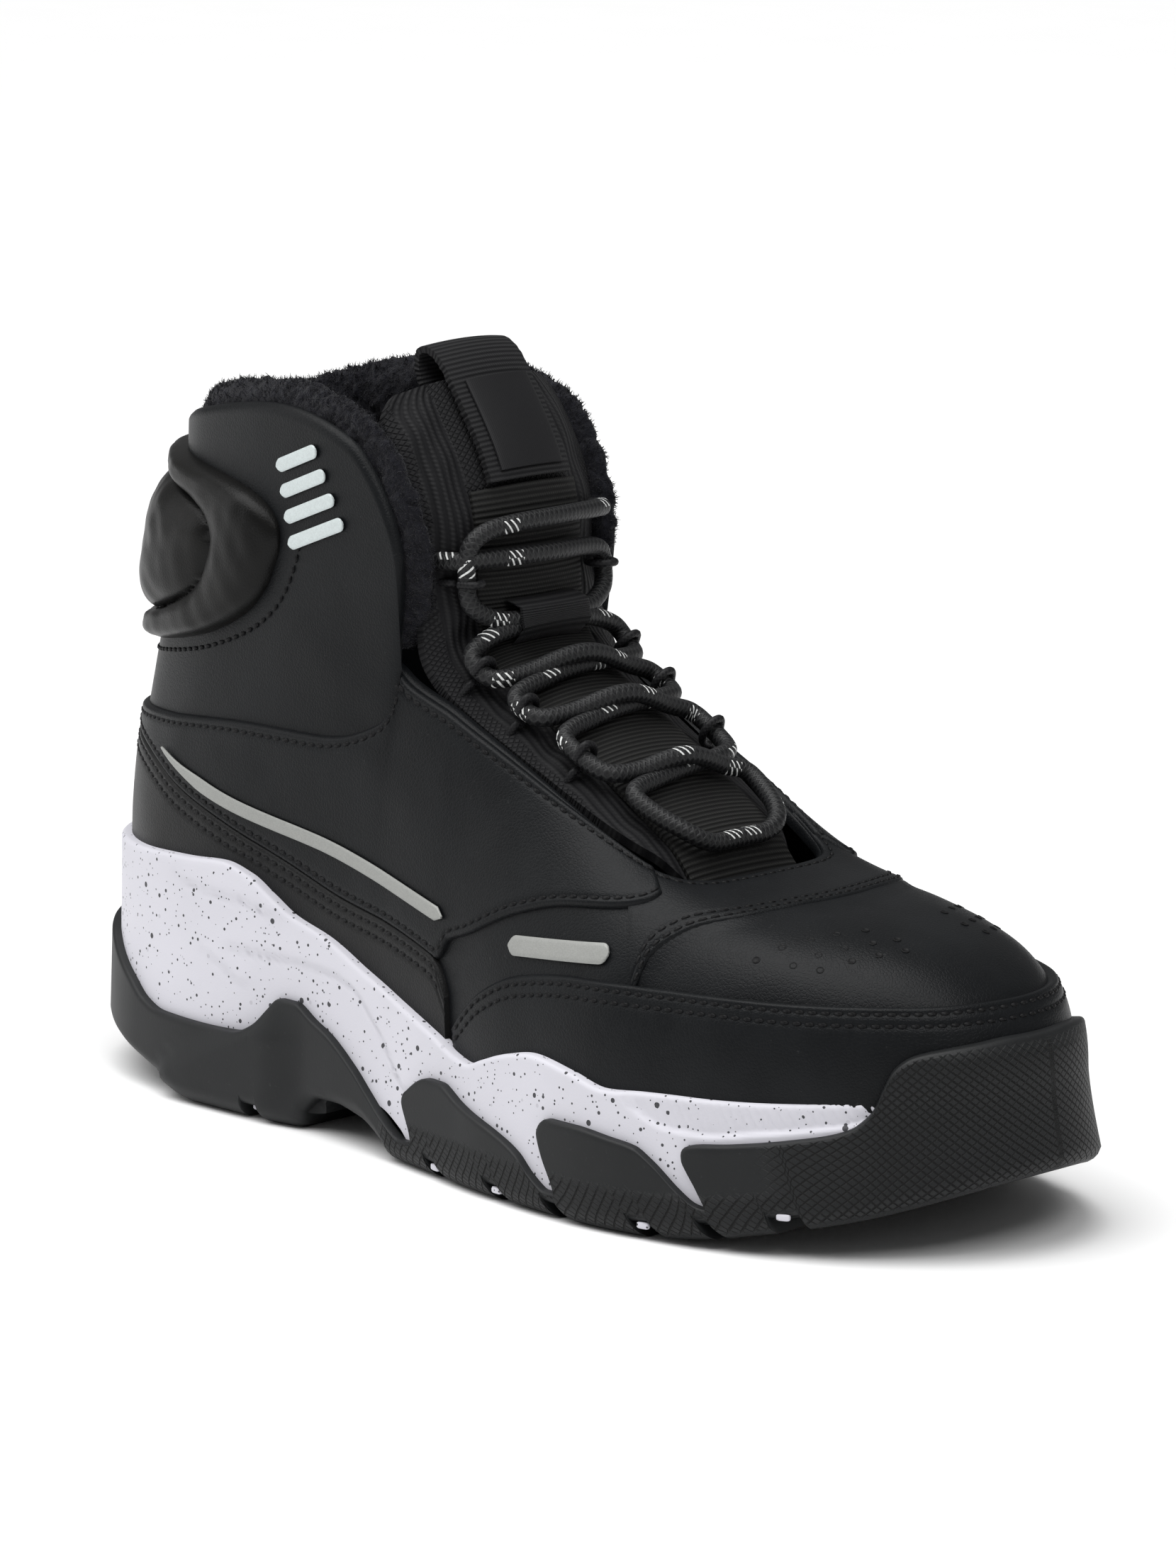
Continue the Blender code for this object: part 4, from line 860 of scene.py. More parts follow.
@dataclass(frozen=True)
class Rubber:
    """Moulded charcoal rubber: satin, a woven relief on the low and the toe faces, and painted shade in its grooves."""

    name: str = "charcoal_rubber_relief"
    colour: tuple[float, float, float] = (0.0095, 0.0102, 0.0108)
    pitch: float = 2.7

    def build(self) -> bpy.types.Material:
        """Makes the material. "place" holds the run round the sole, the height, and how much relief there is."""
        w = Wiring(self.name)
        at = w.place()
        run, height, relief = w.split(w.own())
        wave = 2 * math.pi / self.pitch
        first = abs(((run + height * 1.35) * wave * 0.5).sine())
        second = abs(((run - height * 1.35) * wave * 0.5).sine())
        knit = first.least(second).span(0.10, 0.50)
        skin = w.noise(at, 0.7, 3.0, 0.6)
        slow = w.noise(at, 18.0, 2.0)
        dust = w.noise(at, 1.1, 3.0, 0.7).span(0.62, 0.80)
        base = w.blend(slow.span(0.3, 0.7), self.colour, tuple(c * 1.22 for c in self.colour))
        base = w.blend(dust * 0.08, base, (0.20, 0.21, 0.21))
        # Painted shade: the grooves of the woven relief are darkened almost to black.
        base = w.blend(relief * (1 - knit) * 0.9, base, (0.002, 0.002, 0.002))
        roughness = 0.50 + (slow - 0.5) * 0.12 + (1 - knit) * relief * 0.18
        normal = w.bump(skin, 0.03)
        normal = w.bump(knit * relief, 0.55, normal)
        return w.finish({"Specular IOR Level": 0.24}, base=base, roughness=roughness, normal=normal)


@dataclass(frozen=True)
class Fleece:
    """Short thick fleece: matted tufts, dark with a blue tinge and paler tips."""

    name: str = "navy_fleece"
    colour: tuple[float, float, float] = (0.0055, 0.0055, 0.0085)
    tips: tuple[float, float, float] = (0.014, 0.0145, 0.020)

    def build(self) -> bpy.types.Material:
        """Makes the material."""
        w = Wiring(self.name)
        at = w.place()
        tufts = w.noise(at, 2.2, 4.0, 0.65)
        hairs = w.noise(w.stretch(at, (1.0, 1.0, 2.2)), 0.45, 3.0, 0.7)
        height = tufts * 0.65 + hairs * 0.35
        base = w.blend(height.span(0.42, 0.66), self.colour, self.tips)
        normal = w.bump(hairs, 0.35, w.bump(tufts, 1.3))
        constants = {"Sheen Weight": 0.12, "Sheen Roughness": 0.45, "Specular IOR Level": 0.15, "Roughness": 0.95}
        return w.finish(constants, base=base, normal=normal)


class Weave(Enum):
    """How a fabric is made."""

    CROSS_RIBS = "ribs across the piece"
    LENGTH_RIBS = "ribs along the piece"
    DIAMONDS = "open diamond mesh"
    PLAIN = "fine plain weave"


@dataclass(frozen=True)
class Fabric:
    """Woven or knitted fabric, patterned by the piece's own run along (x) and across (y) in millimetres."""

    name: str
    weave: Weave
    colour: tuple[float, float, float]
    thread: tuple[float, float, float]
    pitch: float
    depth: float = 0.25
    roughness: float = 0.72

    def build(self) -> bpy.types.Material:
        """Makes the material. Each pattern is a product or sum of sine waves along and across the piece."""
        w = Wiring(self.name)
        along, across, _ = w.split(w.own())
        wave = 2 * math.pi / self.pitch
        fuzz = w.noise(w.place(), self.pitch * 0.35, 3.0, 0.65)
        slow = w.noise(w.place(), 9.0, 2.0)
        if self.weave is Weave.CROSS_RIBS:
            ribs = (along * wave).sine() * 0.5 + 0.5
            twist = ((across * 3.2 + along * 1.1) * wave * 0.55).sine() * 0.5 + 0.5
            height = ribs * (0.78 + twist * 0.22)
        elif self.weave is Weave.LENGTH_RIBS:
            ribs = (across * wave).sine() * 0.5 + 0.5
            twist = ((along * 2.2 + across) * wave * 0.7).sine() * 0.5 + 0.5
            height = ribs * (0.65 + twist * 0.35)
        elif self.weave is Weave.DIAMONDS:
            first = ((along + across * 0.9) * wave * 0.5).sine()
            second = ((along - across * 0.9) * wave * 0.5).sine()
            height = abs(first).least(abs(second)).span(0.10, 0.75)
        else:
            height = ((along * wave).sine() * (across * wave).sine()) * 0.5 + 0.5
        base = w.blend((height * 0.8 + fuzz * 0.4).span(0.25, 0.95), self.colour, self.thread)
        roughness = self.roughness + (fuzz - 0.5) * 0.15 + (slow - 0.5) * 0.05
        normal = w.bump(height * 0.85 + fuzz * 0.15, self.depth)
        constants = {"Sheen Weight": 0.02, "Sheen Roughness": 0.4, "Specular IOR Level": 0.22}
        return w.finish(constants, base=base, roughness=roughness, normal=normal)


@dataclass(frozen=True)
class Rope:
    """Round braided lace: fine herringbone, with a group of short pale strokes every so often."""

    name: str = "flecked_rope"
    colour: tuple[float, float, float] = (0.003, 0.003, 0.004)
    thread: tuple[float, float, float] = (0.014, 0.0145, 0.015)
    fleck: tuple[float, float, float] = (0.72, 0.73, 0.72)
    braid: float = 1.5
    repeat: float = 17.0

    def build(self) -> bpy.types.Material:
        """Makes the material. "place" holds the run, and the cosine and sine of the turn."""
        w = Wiring(self.name)
        run, cosine, sine = w.split(w.own())
        turn = w.math("ARCTAN2", sine, cosine)
        wave = 2 * math.pi / self.braid
        left = (run * wave + turn * 5.0).sine()
        right = (run * wave - turn * 5.0).sine()
        plait = left.top(right).span(-0.2, 1.0)
        phase = run % self.repeat
        block = phase.under(5.2) * phase.over(0.8)
        stroke = ((run + turn * 1.25) * 2 * math.pi / 1.7).sine().over(0.60)
        side = (turn * 1.0 + (run / self.repeat).floor() * 2.1).sine()
        pale = block * stroke * side.over(0.25)
        base = w.blend(plait, self.colour, self.thread)
        base = w.blend(pale, base, self.fleck)
        fuzz = w.noise(w.place(), 0.5, 2.0)
        roughness = 0.50 + (fuzz - 0.5) * 0.2
        normal = w.bump(plait * 0.7 + pale * 0.3, 0.16)
        return w.finish({"Specular IOR Level": 0.34}, base=base, roughness=roughness, normal=normal)


@dataclass(frozen=True)
class Film:
    """Reflective film: pale, with fine glass-bead grain."""

    name: str
    colour: tuple[float, float, float]

    def build(self) -> bpy.types.Material:
        """Makes the material."""
        w = Wiring(self.name)
        at = w.place()
        beads, grey = w.cells(at, 0.28)
        slow = w.noise(at, 4.0, 3.0, 0.6)
        base = w.blend((grey * 0.5 + slow * 0.5).span(0.2, 0.8), tuple(c * 0.88 for c in self.colour), self.colour)
        normal = w.bump(beads, 0.02)
        constants = {"Metallic": 0.15, "Specular IOR Level": 0.5}
        return w.finish(constants, base=base, roughness=0.42 + (slow - 0.5) * 0.2, normal=normal)


@dataclass(frozen=True)
class Thread:
    """Waxed sewing thread: black, twisted, slightly glossy."""

    name: str = "black_thread"
    colour: tuple[float, float, float] = (0.0012, 0.0012, 0.0015)

    def build(self) -> bpy.types.Material:
        """Makes the material."""
        w = Wiring(self.name)
        at = w.place()
        twist = w.noise(at, 0.35, 2.0, 0.7)
        base = w.blend(twist.span(0.35, 0.7), self.colour, tuple(c * 3 for c in self.colour))
        return w.finish({"Specular IOR Level": 0.2}, base=base, roughness=0.45 + twist * 0.2, normal=w.bump(twist, 0.06))


@dataclass
class Finishes:
    """Every material of the shoe, made once."""

    leather: bpy.types.Material = field(init=False)
    counter: bpy.types.Material = field(init=False)
    stretch: bpy.types.Material = field(init=False)
    foam: bpy.types.Material = field(init=False)
    rubber: bpy.types.Material = field(init=False)
    fleece: bpy.types.Material = field(init=False)
    mesh: bpy.types.Material = field(init=False)
    ribbed: bpy.types.Material = field(init=False)
    side_rib: bpy.types.Material = field(init=False)
    cord: bpy.types.Material = field(init=False)
    webbing: bpy.types.Material = field(init=False)
    satin: bpy.types.Material = field(init=False)
    rope: bpy.types.Material = field(init=False)
    silver: bpy.types.Material = field(init=False)
    grey: bpy.types.Material = field(init=False)
    thread: bpy.types.Material = field(init=False)

    def __post_init__(self) -> None:
        """Builds them."""
        self.leather = Leather("smooth_leather", (0.0046, 0.0052, 0.0060), (0.0070, 0.0078, 0.0088)).build()
        self.counter = Leather("counter_leather", (0.0085, 0.0087, 0.0090), (0.0120, 0.0120, 0.0120)).build()
        self.stretch = Leather("stretch_leather", (0.0040, 0.0040, 0.0039), (0.0070, 0.0068, 0.0064), 0.36, 0.03).build()
        self.foam = Foam().build()
        self.rubber = Rubber().build()
        self.fleece = Fleece().build()
        self.mesh = Fabric("tongue_mesh", Weave.DIAMONDS, (0.003, 0.003, 0.004), (0.011, 0.011, 0.012), 1.7, 0.35).build()
        self.ribbed = Fabric("ribbed_tape", Weave.CROSS_RIBS, (0.003, 0.003, 0.003), (0.017, 0.017, 0.016), 1.35, 0.4).build()
        self.webbing = Fabric("loop_webbing", Weave.CROSS_RIBS, (0.004, 0.004, 0.005), (0.018, 0.018, 0.019), 1.3, 0.3).build()
        self.satin = Fabric("satin_patch", Weave.PLAIN, (0.008, 0.008, 0.009), (0.012, 0.012, 0.013), 0.6, 0.03, 0.5).build()
        dark, grey = (0.003, 0.003, 0.004), (0.013, 0.013, 0.014)
        self.side_rib = Fabric("ribbed_side", Weave.LENGTH_RIBS, dark, grey, 1.9, 0.4).build()
        self.cord = Fabric("loop_cord", Weave.PLAIN, dark, grey, 0.9, 0.08, 0.5).build()
        self.rope = Rope().build()
        self.silver = Film("silver_film", (0.60, 0.66, 0.66)).build()
        self.grey = Film("grey_film", (0.30, 0.305, 0.29)).build()
        self.thread = Thread().build()


@dataclass
class Sewing:
    """Collects every stitch of the shoe and sews them as one piece of short raised beads."""

    shop: Workshop
    pitch: float = 3.0
    length: float = 2.2
    width: float = 1.15
    rise: float = 0.50
    places: list[Array] = field(default_factory=list)

    def row(self, path: Array, normals: Array) -> None:
        """Adds a row of stitches.

        Args:
            path: Points along the row, on the surface.
            normals: The direction out of the surface at each of them.
        """
        run = run_of(path)
        at = np.arange(self.pitch / 2, run[-1], self.pitch)
        middle = np.stack([np.interp(at, run, path[:, k]) for k in range(3)], -1)
        along = unit(np.stack([np.interp(at, run, np.gradient(path[:, k], run)) for k in range(3)], -1))
        out = unit(np.stack([np.interp(at, run, normals[:, k]) for k in range(3)], -1))
        self.places.append(np.stack([middle, along, np.cross(out, along), out], 1))

    def sew(self, material: bpy.types.Material) -> bpy.types.Object:
        """Makes the piece. Each bead is five rings of six corners, swelling towards its middle."""
        frames = np.concatenate(self.places)
        share = np.array([-1.0, -0.72, 0.0, 0.72, 1.0])[:, None]
        turn = np.linspace(0, 2 * math.pi, 6, endpoint=False)[None, :]
        thick = np.sqrt(np.clip(1.02 - np.abs(share) ** 2.4, 0.03, 1))
        lengthways = share * self.length / 2 + 0 * turn
        sideways = thick * self.width / 2 * np.cos(turn)
        upward = thick * self.rise * np.sin(turn)
        bead = np.stack([lengthways, sideways, upward], -1).reshape(-1, 3)
        points = frames[:, None, 0] + np.einsum("bk,nkd->nbd", bead, frames[:, 1:])
        number = np.arange(30).reshape(5, 6)
        after = np.roll(number, -1, axis=1)
        quads = np.stack([number[:-1], after[:-1], after[1:], number[1:]], -1).reshape(-1, 4)
        start = (np.arange(len(frames)) * 30)[:, None, None]
        faces = (start + quads).reshape(-1, 4).tolist()
        for cap in (number[0], number[-1]):
            faces += (start[:, 0] + cap).tolist()
        piece = self.shop.mesh("stitching", points, faces)
        piece.data.materials.append(material)
        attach(piece, "root")
        return piece


@dataclass
class Panel:
    """A leather panel on the last, between two lines, with rolled edges and a furrow under each row of stitches.

    The stations run along the panel, and low and high are how far up each section its edges lie.
    """

    name: str
    stations: Array
    low: Array
    high: Array
    lift: float = 0.45
    thick: float = 1.1
    sunk: float = -0.35
    roll: float = 1.3
    low_rows: tuple[float, ...] = ()
    high_rows: tuple[float, ...] = ()
    rolled_low: bool = True
    rolled_ends: bool = True
    near: tuple[float, ...] = (0.0, 0.12, 0.35, 0.7, 1.1, 1.5, 1.9, 2.3, 2.7, 3.1, 4.0, 4.7, 5.1, 5.5, 6.4)
    middle_rows: int = 22

    def spread(self, length: Array) -> Array:
        """Distances from 0 to each length, close together near both ends."""
        scale = np.minimum(1.0, length / (2.3 * self.near[-1]))[:, None]
        start = np.array(self.near) * scale
        end = length[:, None] - start[:, ::-1]
        middle = start[:, -1:] + (end[:, :1] - start[:, -1:]) * np.linspace(0, 1, self.middle_rows)[1:-1]
        return np.concatenate([start, middle, end], 1)

    def heights(self, last: Last) -> tuple[Array, Array, Array]:
        """How far up the panel's points lie, their distance from the low edge, and each section's length."""
        share = np.linspace(0, 1, 33)
        ups = self.low[:, None] + (self.high - self.low)[:, None] * share
        walk = last.point(self.stations[:, None], ups)
        run = np.cumsum(np.linalg.norm(np.diff(walk, axis=1), axis=2), axis=1)
        run = np.concatenate([np.zeros((len(run), 1)), run], 1)
        length = run[:, -1]
        away = self.spread(length)
        found = np.array([np.interp(a, r, u) for a, r, u in zip(away, run, ups)])
        return found, away, length

    def make(self, shop: Workshop, sewing: Sewing, relief: Callable | None = None) -> bpy.types.Object:
        """Makes the panel and adds its rows of stitches.

        Args:
            shop: The workshop.
            sewing: Takes the stitches.
            relief: Extra height in millimetres from points of the last.

        Returns:
            The panel.
        """
        last = shop.last
        ups, from_low, length = self.heights(last)
        from_high = length[:, None] - from_low
        stations = np.broadcast_to(self.stations[:, None], ups.shape)
        base = last.point(stations, ups)
        run = run_of(base[:, ups.shape[1] // 2])[:, None]
        nearest = from_high if not self.rolled_low else np.minimum(from_low, from_high)
        if self.rolled_ends:
            nearest = np.minimum(nearest, np.minimum(run, run[-1] - run))
        rise = np.sqrt(1 - (1 - np.clip(nearest / self.roll, 0, 1)) ** 2)
        out = self.sunk + (self.lift + self.thick - self.sunk) * rise
        for rows, away in ((self.low_rows, from_low), (self.high_rows, from_high)):
            for row in rows:
                out = out - 0.24 * np.exp(-(((away - row) / 0.55) ** 2))
        if relief is not None:
            out = out + relief(base) * rise
        front = last.over(stations, ups, out)
        back = last.over(stations, ups, np.full(ups.shape, self.sunk - 0.25))
        for rows, high in ((self.low_rows, False), (self.high_rows, True)):
            for row in rows:
                reach = np.where(length > 2.2 * row, row, length * 0.45)
                target = length - reach if high else reach
                up = np.array([np.interp(t, a, u) for t, a, u in zip(target, from_low, ups)])
                height = np.array([np.interp(t, a, o) for t, a, o in zip(target, from_low, out)])
                path = last.over(self.stations, up, height)
                keep = slice(2, -2)
                sewing.row(path[keep], last.normal(self.stations, up)[keep])
        piece = shop.slab(self.name, front, back)
        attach(piece, "root")
        return piece


@dataclass
class Upper:
    """The leather upper: the hollow shell, the panels over it, their stitches and the pinholes of the toe panel."""

    shop: Workshop
    finishes: Finishes
    sewing: Sewing
    counter_seam: tuple[tuple[float, float], ...] = (
        (0.00, 0.505),
        (0.07, 0.480),
        (0.15, 0.430),
        (0.21, 0.402),
        (0.28, 0.370),
        (0.36, 0.335),
        (0.43, 0.318),
        (0.50, 0.290),
        (0.56, 0.250),
    )
    quarter_seam: tuple[tuple[float, float], ...] = (
        (0.00, 0.000),
        (0.47, 0.000),
        (0.50, 0.305),
        (0.54, 0.335),
        (0.60, 0.375),
        (0.66, 0.398),
        (0.72, 0.405),
    )
    band_seam: tuple[tuple[float, float], ...] = (
        (0.49, 0.150),
        (0.51, 0.190),
        (0.53, 0.228),
        (0.56, 0.268),
        (0.61, 0.302),
        (0.68, 0.318),
        (1.00, 0.328),
    )
    collar_seam: tuple[tuple[float, float], ...] = (
        (0.00, 0.520),
        (0.10, 0.535),
        (0.20, 0.550),
        (0.28, 0.552),
        (0.36, 0.585),
        (0.42, 0.640),
        (0.50, 0.700),
    )
    toe_edge: tuple[tuple[float, float], ...] = (
        (0.00, 0.838),
        (0.20, 0.838),
        (0.42, 0.825),
        (0.70, 0.772),
        (0.84, 0.722),
        (0.95, 0.640),
        (1.01, 0.556),
        (1.045, 0.450),
        (1.07, 0.360),
    )
    holes: tuple[tuple[float, float], ...] = (
        (0.711, 0.566),
        (0.607, 0.622),
        (0.489, 0.656),
        (0.371, 0.678),
        (0.244, 0.684),
        (0.615, 0.534),
        (0.519, 0.578),
        (0.415, 0.603),
        (0.297, 0.619),
        (0.195, 0.622),
        (0.550, 0.509),
        (0.436, 0.541),
        (0.332, 0.559),
        (0.225, 0.568),
    )

    def seam_height(self, rows: tuple[tuple[float, float], ...], stations: Array) -> Array:
        """Height of a seam at stations, from its table in shares of the sole's length and the collar's height."""
        last = self.shop.last
        return last.collar_height * table_curve(rows, last.outline(stations)[..., 0] / last.length)

    def wrinkles(self, points: Array) -> Array:
        """Soft troughs and ridges in the leather at listed places, and a slight unevenness all over.

        Each fold is a ridge or trough along a line seen from the side. Its height is its depth times a bell of the
        distance from the line.
        """
        x, y, z = points[..., 0], points[..., 1], points[..., 2]
        height = 0.16 * ripple(points, 55.0, 3) + 0.05 * ripple(points, 17.0, 5)
        folds = (
            (118.0, 100.0, -0.42, 12.0, 6.0, -0.38),
            (104.0, 112.0, -0.36, 15.0, 7.0, 0.30),
            (128.0, 88.0, -0.50, 13.0, 6.0, 0.24),
            (222.0, 60.0, 1.25, 12.0, 5.0, -0.26),
            (212.0, 62.0, 1.20, 12.0, 5.0, 0.20),
            (70.0, 90.0, -0.15, 16.0, 6.0, -0.22),
        )
        for at_x, at_z, slope, reach, width, depth in folds:
            along = (x - at_x) * math.cos(slope) + (z - at_z) * math.sin(slope)
            off = -(x - at_x) * math.sin(slope) + (z - at_z) * math.cos(slope)
            height = height + depth * np.exp(-((along / reach) ** 2) - (off / width) ** 2)
        return height

    def toe_top(self, station: Array) -> Array:
        """How far up the toe panel's upper edge lies at a station."""
        folded = np.minimum(np.mod(station, 2 * math.pi), 2 * math.pi - np.mod(station, 2 * math.pi))
        return table_curve(self.toe_edge, np.clip(folded, 0, self.toe_edge[-1][0]))

    def shell(self) -> bpy.types.Object:
        """The hollow wall, with the toe panel sunk between the panels round it and a soft rolled rim."""
        last = self.shop.last
        stations = np.linspace(0, 2 * math.pi, 280, endpoint=False)[:, None]
        ups = np.concatenate([np.linspace(0, 0.94, 46), np.linspace(0.95, 1.0, 9)])[None, :]
        stations, ups = np.broadcast_arrays(stations, ups)
        base = last.point(stations, ups)
        folded = np.minimum(stations, 2 * math.pi - stations)
        inside = ramp(0.0, 0.03, self.toe_top(stations) - ups) * ramp(0.0, 0.04, 1.06 - folded)
        out = self.wrinkles(base) - 0.55 * inside
        out = out - 1.3 * np.clip((ups - 0.985) / 0.015, 0, 1) ** 2
        front = last.over(stations, ups, out)
        back = last.over(stations, ups, np.full(ups.shape, -last.wall))
        back[:, 0, 2] = front[:, 0, 2]
        piece = self.shop.slab("upper_shell", front, back, wrap=True)
        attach(piece, "root")
        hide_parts("upper")
        piece.data.materials.append(self.finishes.leather)
        return piece

    def mudguard(self) -> None:
        """The band round the toe, with a double row of stitches inside its upper edge."""
        last, cup = self.shop.last, self.shop.cup
        reach = float(last.angle(0.525)) + 0.015
        stations = np.linspace(-reach, reach, 310)
        bottom = cup.top(last.outline(stations)[:, 0]) - 2.5
        seam = np.maximum(self.seam_height(self.band_seam, stations), bottom + 3.2)
        panel = Panel(
            "toe_band", stations, last.up_at(stations, bottom), last.up_at(stations, seam), sunk=-0.85, high_rows=(2.2, 4.9)
        )
        panel.rolled_low = False
        self.dress(panel, self.finishes.leather, "toe_mudguard", "black_leather")

    def counter(self) -> None:
        """The piece round the heel, with a double row of stitches inside its upper edge."""
        last, cup = self.shop.last, self.shop.cup
        reach = math.pi - float(last.angle(0.512))
        stations = np.linspace(math.pi - reach, math.pi + reach, 330)
        bottom = cup.top(last.outline(stations)[:, 0]) - 2.5
        wide = last.outline(stations)[:, 0] / last.length
        seam = self.seam_height(self.counter_seam, stations) - 15.0 * ramp(0.485, 0.530, wide) ** 1.5
        seam = np.maximum(seam, bottom + 3.2)
        panel = Panel("heel_band", stations, last.up_at(stations, bottom), last.up_at(stations, seam), high_rows=(2.3, 5.0))
        panel.rolled_low = False
        panel.rolled_ends = False
        self.dress(panel, self.finishes.counter, "heel_counter", "black_leather")

    def quarter(self, side: Side) -> None:
        """One side panel, stitched along the throat, the collar seam and its front edge."""
        last = self.shop.last
        stations = np.linspace(float(last.angle(0.802)), math.pi - 0.05, 280)
        stations = stations if side is Side.OUTER else 2 * math.pi - stations
        wide = last.outline(stations)[:, 0] / last.length
        behind = self.seam_height(self.counter_seam, stations) - 0.6
        ahead = self.seam_height(self.quarter_seam, stations)
        low = behind + (ahead - behind) * ramp(0.494, 0.512, wide)
        rim = last.rim(stations)
        collar_at = np.minimum(wide, rim[:, 0] / last.length)
        collar = last.collar_height * table_curve(self.collar_seam, collar_at)
        throat = rim[:, 2] - 1.0
        high = throat + (np.minimum(collar, throat) - throat) * ramp(0.415, 0.385, last.share(stations))
        low_up, high_up = last.up_at(stations, np.minimum(low, high - 2.5)), last.up_at(stations, high)
        high_up = np.where(last.share(stations) > 0.40, np.maximum(high_up, 0.985), high_up)
        rows = (2.6,)
        panel = Panel(f"side_panel_{side.label}", stations, low_up, high_up, lift=0.5, high_rows=rows, low_rows=(2.2,))
        self.dress(panel, self.finishes.leather, f"quarter_{side.label}", "black_leather")

    def vamp(self) -> None:
        """The piece between the throat and the toe panel, with a double row of stitches along the toe panel."""
        last = self.shop.last
        reach = 1.062
        stations = np.linspace(-reach, reach, 270)
        low = self.toe_top(stations)
        high = np.full(len(stations), 0.992)
        panel = Panel("vamp_panel", stations, low, high, lift=0.1, thick=0.55, sunk=-0.95, low_rows=(1.6, 3.9), high_rows=(2.8,))
        self.dress(panel, self.finishes.leather, None, "black_leather")

    def dress(self, panel: Panel, material: bpy.types.Material, node: str | None, slot: str) -> None:
        """Makes a panel, gives it its material and lets it stand for its solid."""
        piece = panel.make(self.shop, self.sewing, self.wrinkles)
        piece.data.materials.append(material)
        if node is not None:
            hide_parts(node)

    def pinholes(self) -> None:
        """The toe panel's small punched holes on both sides of its middle: dished discs, dark with painted shade."""
        last = self.shop.last
        place = np.array(self.holes)
        stations = np.concatenate([place[:, 0], -place[:, 0]])
        ups = np.concatenate([place[:, 1], place[:, 1]])
        centre = last.over(stations, ups, np.full(len(ups), -0.50))
        normal = last.normal(stations, ups)
        side = unit(np.cross(normal, np.array([0.0, 0.0, 1.0])))
        over = np.cross(normal, side)
        turn = np.linspace(0, 2 * math.pi, 14, endpoint=False)
        points, faces = [], []
        rings = ((0.95, -0.6), (0.95, 0.10), (0.80, 0.16), (0.55, 0.02))
        for radius, height in rings:
            ring = radius * (np.cos(turn)[None, :, None] * side[:, None] + np.sin(turn)[None, :, None] * over[:, None])
            points.append(centre[:, None] + ring + height * normal[:, None])
        stack = np.stack(points, 1)
        number = np.arange(stack.size // 3).reshape(stack.shape[:3])
        after = np.roll(number, -1, axis=2)
        quads = np.stack([number[:, :-1], after[:, :-1], after[:, 1:], number[:, 1:]], -1).reshape(-1, 4)
        faces = quads.tolist() + number[:, 0].tolist() + number[:, -1].tolist()
        piece = self.shop.mesh("toe_pinholes", stack, faces)
        # Painted shade: the discs take the black thread's colour in place of the shaded hollow of each hole.
        piece.data.materials.append(self.finishes.thread)
        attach(piece, "root")

    def build(self) -> None:
        """Makes the whole upper."""
        self.shell()
        self.vamp()
        self.mudguard()
        self.counter()
        for side in Side:
            self.quarter(side)
        self.pinholes()


